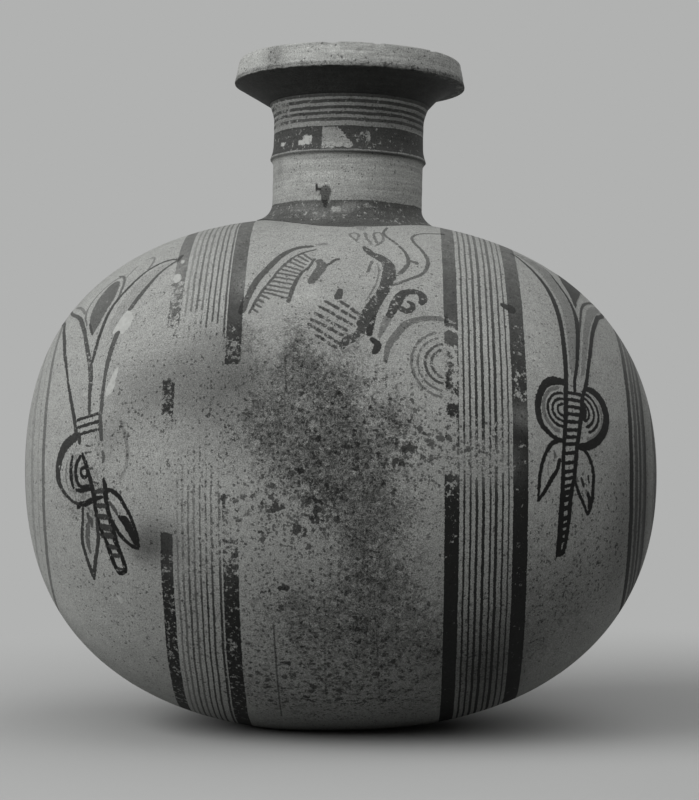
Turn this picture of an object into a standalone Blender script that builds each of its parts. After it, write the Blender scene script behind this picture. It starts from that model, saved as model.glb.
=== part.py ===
"""A barrel-shaped pottery jug on its side: two luted bowls, neck, root fillet, rim and strap handle.

Metres, +Z up. X runs along the barrel, the painted front faces -Y, and the origin
lies on the standing surface, under the middle of the barrel's length.
Run it with blender --background --python part.py, or from the text editor.
"""
import math

import bmesh
import bpy
from mathutils import Matrix, Vector

# Clearance between two clay members, and the roundness of the meshes
GAP = 0.0003
BARREL_SEGMENTS = 64
NECK_SEGMENTS = 48
BOWL_RINGS = 15

# Barrel: a turned form about X, fullest left of its middle
BARREL_RADIUS = 0.130
LEFT_REACH = 0.1471          # from the widest plane to the left end
RIGHT_REACH = 0.1698         # from the widest plane to the right end
LEFT_POWERS = (2.17, 2.56)   # how full the left end is, along and across
RIGHT_POWERS = (2.41, 2.29)
LEFT_END_RISE = 0.0023       # the left bowl was luted on a little askew, so its end is higher
LEFT_RISE_POWER = 1.4
BARREL_WALL = 0.0065
RESTING_FLAT_DEPTH = 0.0020  # worn off the underside, so that the jug stands

# Neck: its heights are measured from the crown, the top of the barrel at its widest plane
NECK_RADIUS = 0.0381
NECK_WALL = 0.0062
NECK_OFFSET = 0.0018         # to the right of the barrel's middle
NECK_LEAN = math.radians(1.0)
RIDGE_HEIGHT = 0.0294
RIDGE_PROUD = 0.0017
RIDGE_SWELL = 0.0085         # the slope above the ridge
RIDGE_UNDERCUT = 0.0030      # the shorter slope below it
FLARE_HEIGHT = 0.0100        # the neck widens over this height, up to the rim
FLARE_REACH = 0.0024
MOUTH_RADIUS = 0.0345        # the bore at the lip
MOUTH_DEPTH = 0.0200         # the bore opens over this depth

# Rim: a thick ring round the lip
RIM_RADIUS = 0.0590
RIM_LEAN = 0.0029            # how far its face leans in towards the top
RIM_FACE_HEIGHT = 0.0121
RIM_UNDERSIDE_RISE = 0.0105  # the underside climbs this far from the neck to the edge
RIM_UNDERSIDE_HOLLOW = 0.0016
RIM_EDGE_ROUND = 0.0016
RIM_TOP_HEIGHT = 0.0800

# Root fillet: a coil smoothed into the corner between neck and barrel
FILLET_HEIGHT = 0.0080
FILLET_REACH = 0.0095
FILLET_EDGE = 0.0005         # the thickness that is left at its outer edge

# Handle: a strap from the ridge to the shoulder, behind the neck
HANDLE_REACH = 0.0660        # how far off the neck its guide points stand
HANDLE_RISE = 0.0150         # how far the upper guide point stands over the ridge
HANDLE_FALL = 0.0200         # how far the lower guide point hangs below the ridge
HANDLE_FOOT_Y = 0.0830       # where its middle line meets the shoulder
HANDLE_WIDTH = 0.0320        # at the waist
HANDLE_END_WIDTH = 0.0420
HANDLE_THICKNESS = 0.0125
HANDLE_END_THICKNESS = 0.0155
HANDLE_RINGS = 22
HANDLE_SIDES = 16

WIDEST_X = (LEFT_REACH - RIGHT_REACH) / 2
AXIS_HEIGHT = BARREL_RADIUS - RESTING_FLAT_DEPTH
CROWN_HEIGHT = AXIS_HEIGHT + BARREL_RADIUS
BORE_RADIUS = NECK_RADIUS - NECK_WALL
NECK_PLACE = Matrix.Translation((NECK_OFFSET, 0, CROWN_HEIGHT)) @ Matrix.Rotation(NECK_LEAN, 4, "Y")


def clear_scene():
    for thing in list(bpy.data.objects):
        bpy.data.objects.remove(thing, do_unlink=True)


def clay(name, grey, roughness):
    """A fired clay surface of one grey level."""
    material = bpy.data.materials.new(name)
    material.use_nodes = True
    shader = material.node_tree.nodes["Principled BSDF"]
    shader.inputs["Base Color"].default_value = (grey, grey, grey, 1)
    shader.inputs["Roughness"].default_value = roughness
    shader.inputs["Metallic"].default_value = 0
    return material


def barrel_radius(x, grown=0.0):
    """The barrel's outer radius at x, with its whole form grown outwards by a little."""
    along, across = LEFT_POWERS if x < WIDEST_X else RIGHT_POWERS
    reach = (LEFT_REACH if x < WIDEST_X else RIGHT_REACH) + grown
    share = min(abs(x - WIDEST_X) / reach, 1)
    return (BARREL_RADIUS + grown) * (1 - share ** along) ** (1 / across)


def axis_rise(x):
    """How far the barrel's middle line has climbed at x, on its way to the left end."""
    share = min(max(WIDEST_X - x, 0) / LEFT_REACH, 1)
    return LEFT_END_RISE * share ** LEFT_RISE_POWER


def barrel_top(x, y, grown=0.0):
    """The height of the barrel's upper surface over a point of the ground."""
    radius = barrel_radius(x, grown)
    return AXIS_HEIGHT + axis_rise(x) + math.sqrt(max(radius * radius - y * y, 0))


def turn(name, profile, place, segments, closed, rise=None):
    """Spins a profile of (radius, height) points about the Z axis of a place into a closed mesh.

    A rise is a function of x that gives how far each point then moves up.
    """
    mesh = bmesh.new()
    points = [mesh.verts.new((radius, 0, height)) for radius, height in profile]
    pairs = list(zip(points, points[1:]))
    if closed:
        pairs.append((points[-1], points[0]))
    edges = [mesh.edges.new(pair) for pair in pairs]
    bmesh.ops.spin(mesh, geom=points + edges, cent=(0, 0, 0), axis=(0, 0, 1),
                   angle=math.tau, steps=segments, use_merge=True)
    bmesh.ops.remove_doubles(mesh, verts=mesh.verts, dist=0.000001)
    mesh.transform(place)
    if rise:
        for point in mesh.verts:
            point.co.z += rise(point.co.x)
    return finish_mesh(name, mesh)


def finish_mesh(name, mesh):
    """Turns a bmesh into a smooth-shaded object whose faces point out."""
    bmesh.ops.recalc_face_normals(mesh, faces=mesh.faces)
    if mesh.calc_volume(signed=True) < 0:
        bmesh.ops.reverse_faces(mesh, faces=mesh.faces)
    data = bpy.data.meshes.new(name)
    mesh.to_mesh(data)
    mesh.free()
    data.shade_smooth()
    data.set_sharp_from_angle(angle=math.radians(40))
    piece = bpy.data.objects.new(name, data)
    bpy.context.scene.collection.objects.link(piece)
    return piece


def hide_tool(piece):
    """Marks a cutter, which is no piece of the jug."""
    piece.hide_render = True
    piece.display_type = "WIRE"
    return piece


def cut(piece, tool):
    """Takes a tool's space out of a piece."""
    boolean = piece.modifiers.new("cut_" + tool.name, "BOOLEAN")
    boolean.operation = "DIFFERENCE"
    boolean.object = tool


def bowl_profile(side, grown, start_x, rings):
    """Points from the seam at start_x to the pole of one bowl, as (radius, x)."""
    reach = (LEFT_REACH if side < 0 else RIGHT_REACH) + grown
    start = math.asin(min(abs(start_x - WIDEST_X) / reach, 1))
    points = []
    for step in range(rings):
        angle = start + (math.pi / 2 - start) * step / rings
        x = WIDEST_X + side * reach * math.sin(angle)
        points.append((barrel_radius(x, grown), x))
    points.append((0, WIDEST_X + side * reach))
    return points


def along_barrel():
    """Places a turned form with its axis along the barrel."""
    return Matrix.Translation((0, 0, AXIS_HEIGHT)) @ Matrix.Rotation(math.pi / 2, 4, "Y")


def make_bowl(name, side, tools):
    """One thrown bowl of the barrel, closed at its end and open at the seam."""
    seam_x = WIDEST_X + side * GAP / 2
    outside = bowl_profile(side, 0, seam_x, BOWL_RINGS)
    inside = bowl_profile(side, -BARREL_WALL, seam_x, BOWL_RINGS - 3)
    profile = outside + inside[::-1]
    bowl = turn(name, profile, along_barrel(), BARREL_SEGMENTS, True, axis_rise)
    for tool in tools:
        cut(bowl, tool)
    return bowl


def make_barrel_tool():
    """The solid barrel with the gap added, which cuts what is luted onto it."""
    left = bowl_profile(-1, GAP, WIDEST_X, BOWL_RINGS)
    right = bowl_profile(1, GAP, WIDEST_X, BOWL_RINGS)
    profile = left[::-1] + right[1:]
    return hide_tool(turn("barrel_tool", profile, along_barrel(), BARREL_SEGMENTS, False, axis_rise))


def make_flat_tool():
    """A block under the ground, which leaves the resting flat."""
    mesh = bmesh.new()
    side = 4 * BARREL_RADIUS
    bmesh.ops.create_cube(mesh, size=side, matrix=Matrix.Translation((0, 0, -side / 2)))
    return hide_tool(finish_mesh("flat_tool", mesh))


def make_bore_tool():
    """A rod down the neck, which opens the barrel under it."""
    profile = [(0, -BARREL_RADIUS), (BORE_RADIUS, -BARREL_RADIUS), (BORE_RADIUS, RIM_TOP_HEIGHT)]
    profile.append((0, RIM_TOP_HEIGHT))
    return hide_tool(turn("bore_tool", profile, NECK_PLACE, NECK_SEGMENTS, False))


def flare_start():
    """The height where the neck begins to widen, below the rim's underside."""
    return rim_foot() - FLARE_HEIGHT


def rim_foot():
    """The height where the rim's underside meets the neck."""
    return RIM_TOP_HEIGHT - RIM_FACE_HEIGHT - RIM_UNDERSIDE_RISE


def neck_outside(grown=0.0):
    """The neck's outer profile, bottom to top: waist, ridge, waist, flare and lip."""
    foot = crown_drop(NECK_RADIUS + GAP) - 2 * GAP
    waist = NECK_RADIUS + grown
    points = [(waist, foot), (waist, (foot + RIDGE_HEIGHT) / 2)]
    points.append((waist, RIDGE_HEIGHT - RIDGE_UNDERCUT))
    points.append((waist + RIDGE_PROUD * 0.45, RIDGE_HEIGHT - RIDGE_UNDERCUT / 2))
    for share in (0, 0.25, 0.5, 0.75, 1):
        swell = RIDGE_PROUD * (1 - share) ** 2
        points.append((waist + swell, RIDGE_HEIGHT + RIDGE_SWELL * share))
    for share in (0, 0.25, 0.5, 0.75, 1):
        points.append((waist + FLARE_REACH * share ** 2, flare_start() + FLARE_HEIGHT * share))
    points.append((waist + FLARE_REACH, RIM_TOP_HEIGHT))
    return points


def crown_drop(reach):
    """How far the barrel's surface falls below the crown within a reach of the neck's axis."""
    around = [math.tau * step / NECK_SEGMENTS for step in range(NECK_SEGMENTS)]
    tops = [barrel_top(NECK_OFFSET + reach * math.cos(a), reach * math.sin(a)) for a in around]
    return min(tops) - CROWN_HEIGHT - reach * math.tan(abs(NECK_LEAN)) - BARREL_WALL / 2


def make_neck(tools):
    """The neck: a tube with its ridge, opening towards the mouth, cut to the barrel's saddle."""
    outside = neck_outside()
    foot = outside[0][1]
    inside = [(BORE_RADIUS, foot), (BORE_RADIUS, RIM_TOP_HEIGHT - MOUTH_DEPTH)]
    for share in (0.33, 0.66):
        height = RIM_TOP_HEIGHT - MOUTH_DEPTH * (1 - share)
        inside.append((BORE_RADIUS + (MOUTH_RADIUS - BORE_RADIUS) * share ** 2, height))
    inside.append((MOUTH_RADIUS, RIM_TOP_HEIGHT))
    neck = turn("neck", outside + inside[::-1], NECK_PLACE, NECK_SEGMENTS, True)
    for tool in tools:
        cut(neck, tool)
    return neck


def make_neck_tool():
    """The solid neck with the gap added, which cuts the handle's upper seat."""
    outside = neck_outside(GAP)
    profile = [(0, outside[0][1])] + outside + [(0, RIM_TOP_HEIGHT)]
    return hide_tool(turn("neck_tool", profile, NECK_PLACE, NECK_SEGMENTS, False))


def rounded(corner, before, after, radius, steps):
    """Points that round a corner of a profile between its two neighbours."""
    corner, before, after = Vector(corner), Vector(before), Vector(after)
    start = corner + (before - corner).normalized() * radius
    end = corner + (after - corner).normalized() * radius
    points = []
    for step in range(steps + 1):
        share = step / steps
        first, second = start.lerp(corner, share), corner.lerp(end, share)
        points.append(tuple(first.lerp(second, share)))
    return points


def make_rim():
    """The rim ring: hollowed underside, face leaning in, rounded edges and a flat top."""
    inner = NECK_RADIUS + FLARE_REACH + GAP
    foot = rim_foot()
    lower = (RIM_RADIUS, RIM_TOP_HEIGHT - RIM_FACE_HEIGHT)
    upper = (RIM_RADIUS - RIM_LEAN, RIM_TOP_HEIGHT)
    inner_top = (inner, RIM_TOP_HEIGHT)
    profile = [(inner, foot)]
    for share in (0.12, 0.25, 0.45, 0.65, 0.85):
        radius = inner + (lower[0] - inner) * share
        sag = RIM_UNDERSIDE_HOLLOW * math.sin(math.pi * share)
        profile.append((radius, foot + RIM_UNDERSIDE_RISE * share + sag))
    profile += rounded(lower, profile[-1], upper, RIM_EDGE_ROUND / 2, 3)
    profile += rounded(upper, lower, inner_top, RIM_EDGE_ROUND, 4)
    profile.append(inner_top)
    return turn("rim", profile, NECK_PLACE, NECK_SEGMENTS, True)


def beside_neck(radius, angle, height):
    """A point at a radius from the leaning neck's axis, at a height above the ground."""
    middle = NECK_OFFSET + (height - CROWN_HEIGHT) * math.tan(NECK_LEAN)
    return Vector((middle + radius * math.cos(angle), radius * math.sin(angle), height))


def fillet_section(angle):
    """One section of the root fillet: down its concave face, then back along the barrel."""
    inner = NECK_RADIUS + GAP
    points = []
    for share in (0, 0.2, 0.4, 0.6, 0.8, 1):
        turn_angle = share * math.pi / 2
        radius = inner + FILLET_REACH * (1 - math.cos(turn_angle))
        point = beside_neck(radius, angle, CROWN_HEIGHT)
        lift = GAP + FILLET_EDGE + (FILLET_HEIGHT - FILLET_EDGE) * (1 - math.sin(turn_angle))
        points.append(beside_neck(radius, angle, barrel_top(point.x, point.y) + lift))
    for share in (1, 0.5, 0):
        radius = inner + FILLET_REACH * share
        point = beside_neck(radius, angle, CROWN_HEIGHT)
        points.append(beside_neck(radius, angle, barrel_top(point.x, point.y) + GAP))
    return points


def make_fillet():
    """The root fillet, lofted round the neck over the barrel's saddle."""
    mesh = bmesh.new()
    loops = []
    for step in range(NECK_SEGMENTS):
        section = fillet_section(math.tau * step / NECK_SEGMENTS)
        loops.append([mesh.verts.new(point) for point in section])
    for loop, following in zip(loops, loops[1:] + loops[:1]):
        for near in range(len(loop)):
            far = (near + 1) % len(loop)
            mesh.faces.new((loop[near], loop[far], following[far], following[near]))
    return finish_mesh("neck_root_fillet", mesh)


def handle_guides():
    """The four points in the YZ plane that guide the handle's middle line.

    The first lies inside the neck and the last inside the barrel, deep enough for the
    whole of each end to be cut to its seat.
    """
    springing = CROWN_HEIGHT + RIDGE_HEIGHT
    half_end = HANDLE_END_WIDTH / 2
    depth = math.sqrt(max(NECK_RADIUS ** 2 - half_end ** 2, 0)) - HANDLE_END_THICKNESS / 2
    foot = barrel_top(NECK_OFFSET + half_end, HANDLE_FOOT_Y + HANDLE_END_THICKNESS / 2)
    start = Vector((depth, springing - HANDLE_END_THICKNESS / 3))
    rise = Vector((NECK_RADIUS + HANDLE_REACH * 0.4, springing + HANDLE_RISE))
    fall = Vector((NECK_RADIUS + HANDLE_REACH, springing - HANDLE_FALL))
    end = Vector((HANDLE_FOOT_Y - HANDLE_THICKNESS / 4, foot - HANDLE_THICKNESS / 2))
    return start, rise, fall, end


def handle_line(share):
    """A point of the handle's middle line, on a cubic curve, and the line's direction there."""
    start, rise, fall, end = handle_guides()
    rest = 1 - share
    point = start * rest ** 3 + rise * 3 * rest ** 2 * share + fall * 3 * rest * share ** 2
    point += end * share ** 3
    slope = (rise - start) * rest ** 2 + (fall - rise) * 2 * rest * share
    slope += (end - fall) * share ** 2
    return point, slope.normalized()


def make_handle(tools):
    """The strap handle: an oval section swept along its line, then cut to the neck and barrel."""
    mesh = bmesh.new()
    loops = []
    for ring in range(HANDLE_RINGS + 1):
        share = ring / HANDLE_RINGS
        middle, slope = handle_line(share)
        spread = abs(2 * share - 1) ** 3
        half_width = (HANDLE_WIDTH + (HANDLE_END_WIDTH - HANDLE_WIDTH) * spread) / 2
        half_depth = (HANDLE_THICKNESS + (HANDLE_END_THICKNESS - HANDLE_THICKNESS) * spread) / 2
        loop = []
        for side in range(HANDLE_SIDES):
            angle = math.tau * side / HANDLE_SIDES
            across = half_width * math.cos(angle)
            depth = half_depth * math.copysign(abs(math.sin(angle)) ** 0.8, math.sin(angle))
            y, z = middle.x - slope.y * depth, middle.y + slope.x * depth
            loop.append(mesh.verts.new((NECK_OFFSET + across, y, z)))
        loops.append(loop)
    for loop, following in zip(loops, loops[1:]):
        for near in range(HANDLE_SIDES):
            far = (near + 1) % HANDLE_SIDES
            mesh.faces.new((loop[near], loop[far], following[far], following[near]))
    mesh.faces.new(loops[0])
    mesh.faces.new(loops[-1])
    handle = finish_mesh("handle", mesh)
    for tool in tools:
        cut(handle, tool)
    return handle


def main():
    clear_scene()
    barrel_tool = make_barrel_tool()
    flat_tool = make_flat_tool()
    bore_tool = make_bore_tool()
    neck_tool = make_neck_tool()
    greys = {
        make_bowl("barrel_left", -1, (flat_tool, bore_tool)): ("barrel_left_clay", 0.30),
        make_bowl("barrel_right", 1, (flat_tool, bore_tool)): ("barrel_right_clay", 0.30),
        make_neck((barrel_tool,)): ("neck_clay", 0.36),
        make_fillet(): ("root_slip", 0.06),
        make_rim(): ("rim_clay", 0.20),
        make_handle((neck_tool, barrel_tool)): ("handle_clay", 0.32),
    }
    for piece, (name, grey) in greys.items():
        piece.data.materials.append(clay(name, grey, 0.85))


main()
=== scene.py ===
# %% [markdown]
# A barrel-shaped pottery jug, dressed for its portrait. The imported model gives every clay
# member at its true place and size. This script keeps those places, and gives each member
# a finer surface: clay that was thrown, painted with dark slip, fired, buried and cleaned.
# Lengths are in millimetres where a potter would measure them, and MM turns them into
# Blender's metres. The barrel lies along X, its painted front faces -Y, and Z is up.

import math

import bmesh
import bpy
import numpy as np
from mathutils import Matrix, Vector


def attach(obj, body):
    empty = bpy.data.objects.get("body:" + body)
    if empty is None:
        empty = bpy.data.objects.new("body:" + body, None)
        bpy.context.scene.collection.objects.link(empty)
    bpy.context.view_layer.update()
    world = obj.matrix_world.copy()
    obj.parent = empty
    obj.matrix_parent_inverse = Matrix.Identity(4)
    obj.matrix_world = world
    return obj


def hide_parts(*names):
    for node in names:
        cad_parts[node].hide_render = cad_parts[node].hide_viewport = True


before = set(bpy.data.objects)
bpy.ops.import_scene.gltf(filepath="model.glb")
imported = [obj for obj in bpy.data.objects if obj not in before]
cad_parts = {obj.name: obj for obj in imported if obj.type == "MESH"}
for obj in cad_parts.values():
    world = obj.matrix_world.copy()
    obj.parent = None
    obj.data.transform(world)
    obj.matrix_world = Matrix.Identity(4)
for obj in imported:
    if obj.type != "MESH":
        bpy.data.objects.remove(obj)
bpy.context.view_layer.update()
MM = 0.001
print("members in the frame:", sorted(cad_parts))

# %% [markdown]
# The picture needs the plain Standard view, so that a grey written here is the grey seen.

# %% Plain colours
bpy.context.scene.view_settings.view_transform = "Standard"

# %% [markdown]
# The camera stood about a metre in front of the jug, a little above the middle of the
# barrel and a touch to the right, looking very slightly up. These values were worked out
# by fitting the outlines of neck, rim and barrel, so the lens draws the same ellipses.

# %% Camera
CAMERA_PLACE = (0.02634, -1.00886, 0.13926)
CAMERA_HEADING = math.radians(1.291)
CAMERA_TILT = math.radians(91.484)
CAMERA_ROLL = math.radians(0.255)
CAMERA_LENS = 88.87

lens = bpy.data.cameras.new("camera")
lens.lens = CAMERA_LENS
camera = bpy.data.objects.new("camera", lens)
bpy.context.scene.collection.objects.link(camera)
turning = (Matrix.Rotation(CAMERA_HEADING, 4, "Z") @ Matrix.Rotation(CAMERA_TILT, 4, "X")
           @ Matrix.Rotation(CAMERA_ROLL, 4, "Z"))
camera.matrix_world = Matrix.Translation(CAMERA_PLACE) @ turning
bpy.context.scene.camera = camera
print("camera distance:", round(Vector(CAMERA_PLACE).length, 3), "m")

# %% [markdown]
# Node materials are built with a few short helpers. Each one adds a node to a tree, feeds
# it with numbers or with other nodes' outputs, and hands back its output. The Tree class
# keeps the node tree, so that a finish reads like a recipe.

# %% Helpers for node trees
class Tree:
    """A material's node tree, with one short call for each kind of node used here."""

    def __init__(self, name):
        self.material = bpy.data.materials.new(name)
        self.material.use_nodes = True
        self.nodes = self.material.node_tree.nodes
        self.shader = self.nodes["Principled BSDF"]

    def feed(self, socket, value):
        """Joins another node's output to a socket, or writes a plain value into it."""
        if isinstance(value, bpy.types.NodeSocket):
            self.material.node_tree.links.new(value, socket)
        else:
            socket.default_value = value

    def math(self, operation, first, second=0.0, third=0.0):
        """One sum on up to three numbers or outputs."""
        node = self.nodes.new("ShaderNodeMath")
        node.operation = operation
        for socket, value in zip(node.inputs, (first, second, third)):
            self.feed(socket, value)
        return node.outputs[0]

    def place(self, stretch=(1, 1, 1), shift=(0, 0, 0)):
        """The piece's own coordinates, stretched and shifted."""
        place = self.nodes.new("ShaderNodeTexCoord").outputs["Object"]
        mapping = self.nodes.new("ShaderNodeMapping")
        mapping.inputs["Location"].default_value = shift
        mapping.inputs["Scale"].default_value = stretch
        self.feed(mapping.inputs["Vector"], place)
        return mapping.outputs[0]

    def noise(self, scale, detail=2.0, roughness=0.5, place=None, distortion=0.0):
        """Cloudy noise: a larger scale gives smaller spots, more detail rougher ones."""
        node = self.nodes.new("ShaderNodeTexNoise")
        for name, value in (("Scale", scale), ("Detail", detail), ("Roughness", roughness),
                            ("Distortion", distortion)):
            node.inputs[name].default_value = value
        self.feed(node.inputs["Vector"], place if place is not None else self.place())
        return node.outputs[0]

    def cells(self, scale, place=None):
        """Voronoi cells: the distance to the nearest seed, and the seed's own random number."""
        node = self.nodes.new("ShaderNodeTexVoronoi")
        node.inputs["Scale"].default_value = scale
        self.feed(node.inputs["Vector"], place if place is not None else self.place())
        lone = self.nodes.new("ShaderNodeSeparateColor")
        self.feed(lone.inputs[0], node.outputs["Color"])
        return node.outputs["Distance"], lone.outputs[0]

    def shaken(self, scale, reach, detail=3.0):
        """The place, pushed about by noise, so that what is drawn there gets a broken outline."""
        push = self.nodes.new("ShaderNodeTexNoise")
        push.inputs["Scale"].default_value, push.inputs["Detail"].default_value = scale, detail
        place = self.place()
        self.feed(push.inputs["Vector"], place)
        scaled = self.nodes.new("ShaderNodeVectorMath")
        scaled.operation = "MULTIPLY_ADD"
        self.feed(scaled.inputs[0], push.outputs["Color"])
        scaled.inputs[1].default_value = (reach, reach, reach)
        self.feed(scaled.inputs[2], place)
        return scaled.outputs[0]

    def mark(self, name):
        """A number that the mesh keeps at each of its points."""
        node = self.nodes.new("ShaderNodeAttribute")
        node.attribute_name = name
        return node.outputs["Fac"]

    def step(self, value, low, high, start=0.0, end=1.0):
        """Rises smoothly from start to end while the value goes from low to high."""
        node = self.nodes.new("ShaderNodeMapRange")
        node.interpolation_type = "SMOOTHSTEP"
        for name, number in (("Value", value), ("From Min", low), ("From Max", high),
                             ("To Min", start), ("To Max", end)):
            self.feed(node.inputs[name], number)
        return node.outputs[0]

    def blend(self, share, first, second):
        """Mixes two greys."""
        node = self.nodes.new("ShaderNodeMix")
        for socket, value in zip((node.inputs[0], node.inputs[2], node.inputs[3]),
                                 (share, first, second)):
            self.feed(socket, value)
        return node.outputs[0]

    def ramp(self, share, stops):
        """A ramp of hard steps: each stop is (place from 0 to 1, grey from there on)."""
        node = self.nodes.new("ShaderNodeValToRGB")
        node.color_ramp.interpolation = "CONSTANT"
        elements = node.color_ramp.elements
        elements[0].position, elements[0].color = 0, (0, 0, 0, 1)
        elements.remove(elements[1])
        for position, grey in stops:
            elements.new(position).color = (grey, grey, grey, 1)
        self.feed(node.inputs[0], share)
        return node.outputs[0]

    def tint(self, grey, red, green, blue):
        """Turns a grey into a colour with a slight cast."""
        node = self.nodes.new("ShaderNodeCombineColor")
        for socket, cast in zip(node.inputs, (red, green, blue)):
            self.feed(socket, self.math("MULTIPLY", grey, cast))
        return node.outputs[0]

    def bump(self, height, strength, distance):
        """Tilts the light's fall by a height, which spans a distance in metres."""
        node = self.nodes.new("ShaderNodeBump")
        node.inputs["Strength"].default_value = strength
        node.inputs["Distance"].default_value = distance
        self.feed(node.inputs["Height"], height)
        return node.outputs[0]

# %% [markdown]
# The barrel's outside is one formula: at a distance along X it has a radius, and its
# middle line climbs a little towards the left end. A place on the barrel is then given as
# a potter would: so many millimetres along, and so many degrees round from the top,
# counted towards the front. Everything painted on the jug is written down in these terms.

# %% The barrel as a formula
BARREL_RADIUS = 130.0
LEFT_REACH, RIGHT_REACH = 147.1, 169.8
LEFT_POWERS, RIGHT_POWERS = (2.17, 2.56), (2.41, 2.29)
END_RISE, END_RISE_POWER = 2.3, 1.4
WIDEST = (LEFT_REACH - RIGHT_REACH) / 2
RESTING_FLAT = 2.0
AXIS_HEIGHT = BARREL_RADIUS - RESTING_FLAT
CROWN_HEIGHT = AXIS_HEIGHT + BARREL_RADIUS
WALL = 6.5


def barrel_radius(along, grown=0.0):
    """The barrel's radius at a distance along it, in mm."""
    left = along < WIDEST
    reach = np.where(left, LEFT_REACH, RIGHT_REACH) + grown
    length_power = np.where(left, LEFT_POWERS[0], RIGHT_POWERS[0])
    round_power = np.where(left, LEFT_POWERS[1], RIGHT_POWERS[1])
    share = np.clip(np.abs(along - WIDEST) / reach, 0, 1)
    return (BARREL_RADIUS + grown) * (1 - share ** length_power) ** (1 / round_power)


def axis_rise(along):
    """How far the barrel's middle line has climbed at a distance along it, in mm."""
    return END_RISE * np.clip((WIDEST - along) / LEFT_REACH, 0, 1) ** END_RISE_POWER


def bumps(along, degrees, patches):
    """Adds up soft patches, each (along, degrees, half length, half degrees, amount)."""
    total = np.zeros(np.broadcast(along, degrees).shape)
    for x, angle, long, wide, amount in patches:
        apart = (degrees - angle + 180) % 360 - 180
        total += amount * np.exp(-(((along - x) / long) ** 2 + (apart / wide) ** 2) ** 1.3)
    return total


HAND_DENTS = [(-78, 104, 8, 5, 0.9), (-30, 70, 30, 14, 0.25), (60, 120, 26, 12, 0.2)]


def hollow(along, degrees):
    """How far the hand-thrown surface lies below the true form, in mm."""
    turn = np.radians(degrees)
    uneven = 0.16 + 0.05 * np.sin(2 * turn + along / 31) + 0.04 * np.sin(3 * turn - along / 19 + 1)
    rings = 0.035 * np.sin(along / 2.3 + 0.6 * np.sin(turn)) * np.sin(along / 17 + 2)
    return uneven + rings + bumps(along, degrees, HAND_DENTS)


def on_barrel(along, degrees, lift=0.0):
    """The point of the jug's surface at a place, in metres, lifted by a little."""
    grown = lift - hollow(along, degrees)
    radius = barrel_radius(along) + grown
    turn = np.radians(degrees)
    height = AXIS_HEIGHT + axis_rise(along) + radius * np.cos(turn)
    return np.stack([along, -radius * np.sin(turn), np.maximum(height, 0)], -1) * MM


print("radius over the neck:", barrel_radius(np.array(0.0)).round(2), "mm")

# %% [markdown]
# The barrel was thrown as two bowls and luted into one closed form, and after smoothing no
# seam shows. So one mesh stands for both members: a fine grid outside, a coarser one
# inside, and a hole under the neck where the two are joined. Stations along the barrel are
# spaced evenly along the curve, which keeps the faces square near the ends.

# %% Barrel mesh
ROUND_OUTSIDE, LONG_OUTSIDE = 320, 180
ROUND_INSIDE, LONG_INSIDE = 160, 84
NECK_OFFSET, NECK_LEAN = 1.8, math.radians(1.0)
HOLE_RADIUS = 35.0


def even_stations(count, grown=0.0):
    """Distances along the barrel, end to end, at equal steps along its outline."""
    swing = np.linspace(-math.pi / 2, math.pi / 2, 4001)
    reach = np.where(swing < 0, LEFT_REACH, RIGHT_REACH) + grown
    along = WIDEST + reach * np.sin(swing)
    radius = barrel_radius(along, grown)
    walked = np.concatenate([[0], np.cumsum(np.hypot(np.diff(along), np.diff(radius)))])
    return np.interp(np.linspace(0, walked[-1], count), walked, along)


def add_skin(mesh, stations, round_count, point_of):
    """Adds a closed barrel skin to a bmesh: rings of points, with one point at each end."""
    angles = np.arange(round_count) * 360 / round_count
    rings = []
    for along in stations[1:-1]:
        points = point_of(np.full(round_count, along), angles)
        rings.append([mesh.verts.new(point) for point in points])
    ends = [mesh.verts.new(point_of(np.array([along]), np.zeros(1))[0])
            for along in (stations[0], stations[-1])]
    for near, far in zip(rings, rings[1:]):
        for step in range(round_count):
            other = (step + 1) % round_count
            mesh.faces.new((near[step], near[other], far[other], far[step]))
    for end, ring in zip(ends, (rings[0], rings[-1])):
        for step in range(round_count):
            mesh.faces.new((end, ring[step], ring[(step + 1) % round_count]))


def neck_axis(height):
    """Where the leaning neck's axis is at a height above the ground, in mm along X."""
    return NECK_OFFSET + (height - CROWN_HEIGHT) * math.tan(NECK_LEAN)


def open_under_neck(mesh):
    """Takes away the faces under the neck and draws both edges onto one circle."""
    def off_axis(point):
        return math.hypot(point.x / MM - neck_axis(point.z / MM), point.y / MM)

    doomed = [face for face in mesh.faces
              if face.calc_center_median().z > AXIS_HEIGHT * MM
              and off_axis(face.calc_center_median()) < HOLE_RADIUS]
    bmesh.ops.delete(mesh, geom=doomed, context="FACES")
    edges = [edge for edge in mesh.edges if edge.is_boundary]
    for point in {point for edge in edges for point in edge.verts}:
        middle = neck_axis(point.co.z / MM) * MM
        share = HOLE_RADIUS / off_axis(point.co)
        point.co.x = middle + (point.co.x - middle) * share
        point.co.y *= share
    bmesh.ops.bridge_loops(mesh, edges=edges)


def keep_piece(name, mesh):
    """Turns a bmesh into a smooth object whose faces point out, and frees the bmesh."""
    bmesh.ops.recalc_face_normals(mesh, faces=mesh.faces)
    if mesh.calc_volume(signed=True) < 0:
        bmesh.ops.reverse_faces(mesh, faces=mesh.faces)
    data = bpy.data.meshes.new(name)
    mesh.to_mesh(data)
    mesh.free()
    data.shade_smooth()
    piece = bpy.data.objects.new(name, data)
    bpy.context.scene.collection.objects.link(piece)
    return piece


def inside_point(along, degrees):
    """The point of the barrel's inner wall at a place, in metres."""
    radius = barrel_radius(along, -WALL)
    turn = np.radians(degrees)
    height = AXIS_HEIGHT + axis_rise(along) + radius * np.cos(turn)
    return np.stack([along, -radius * np.sin(turn), height], -1) * MM


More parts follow.
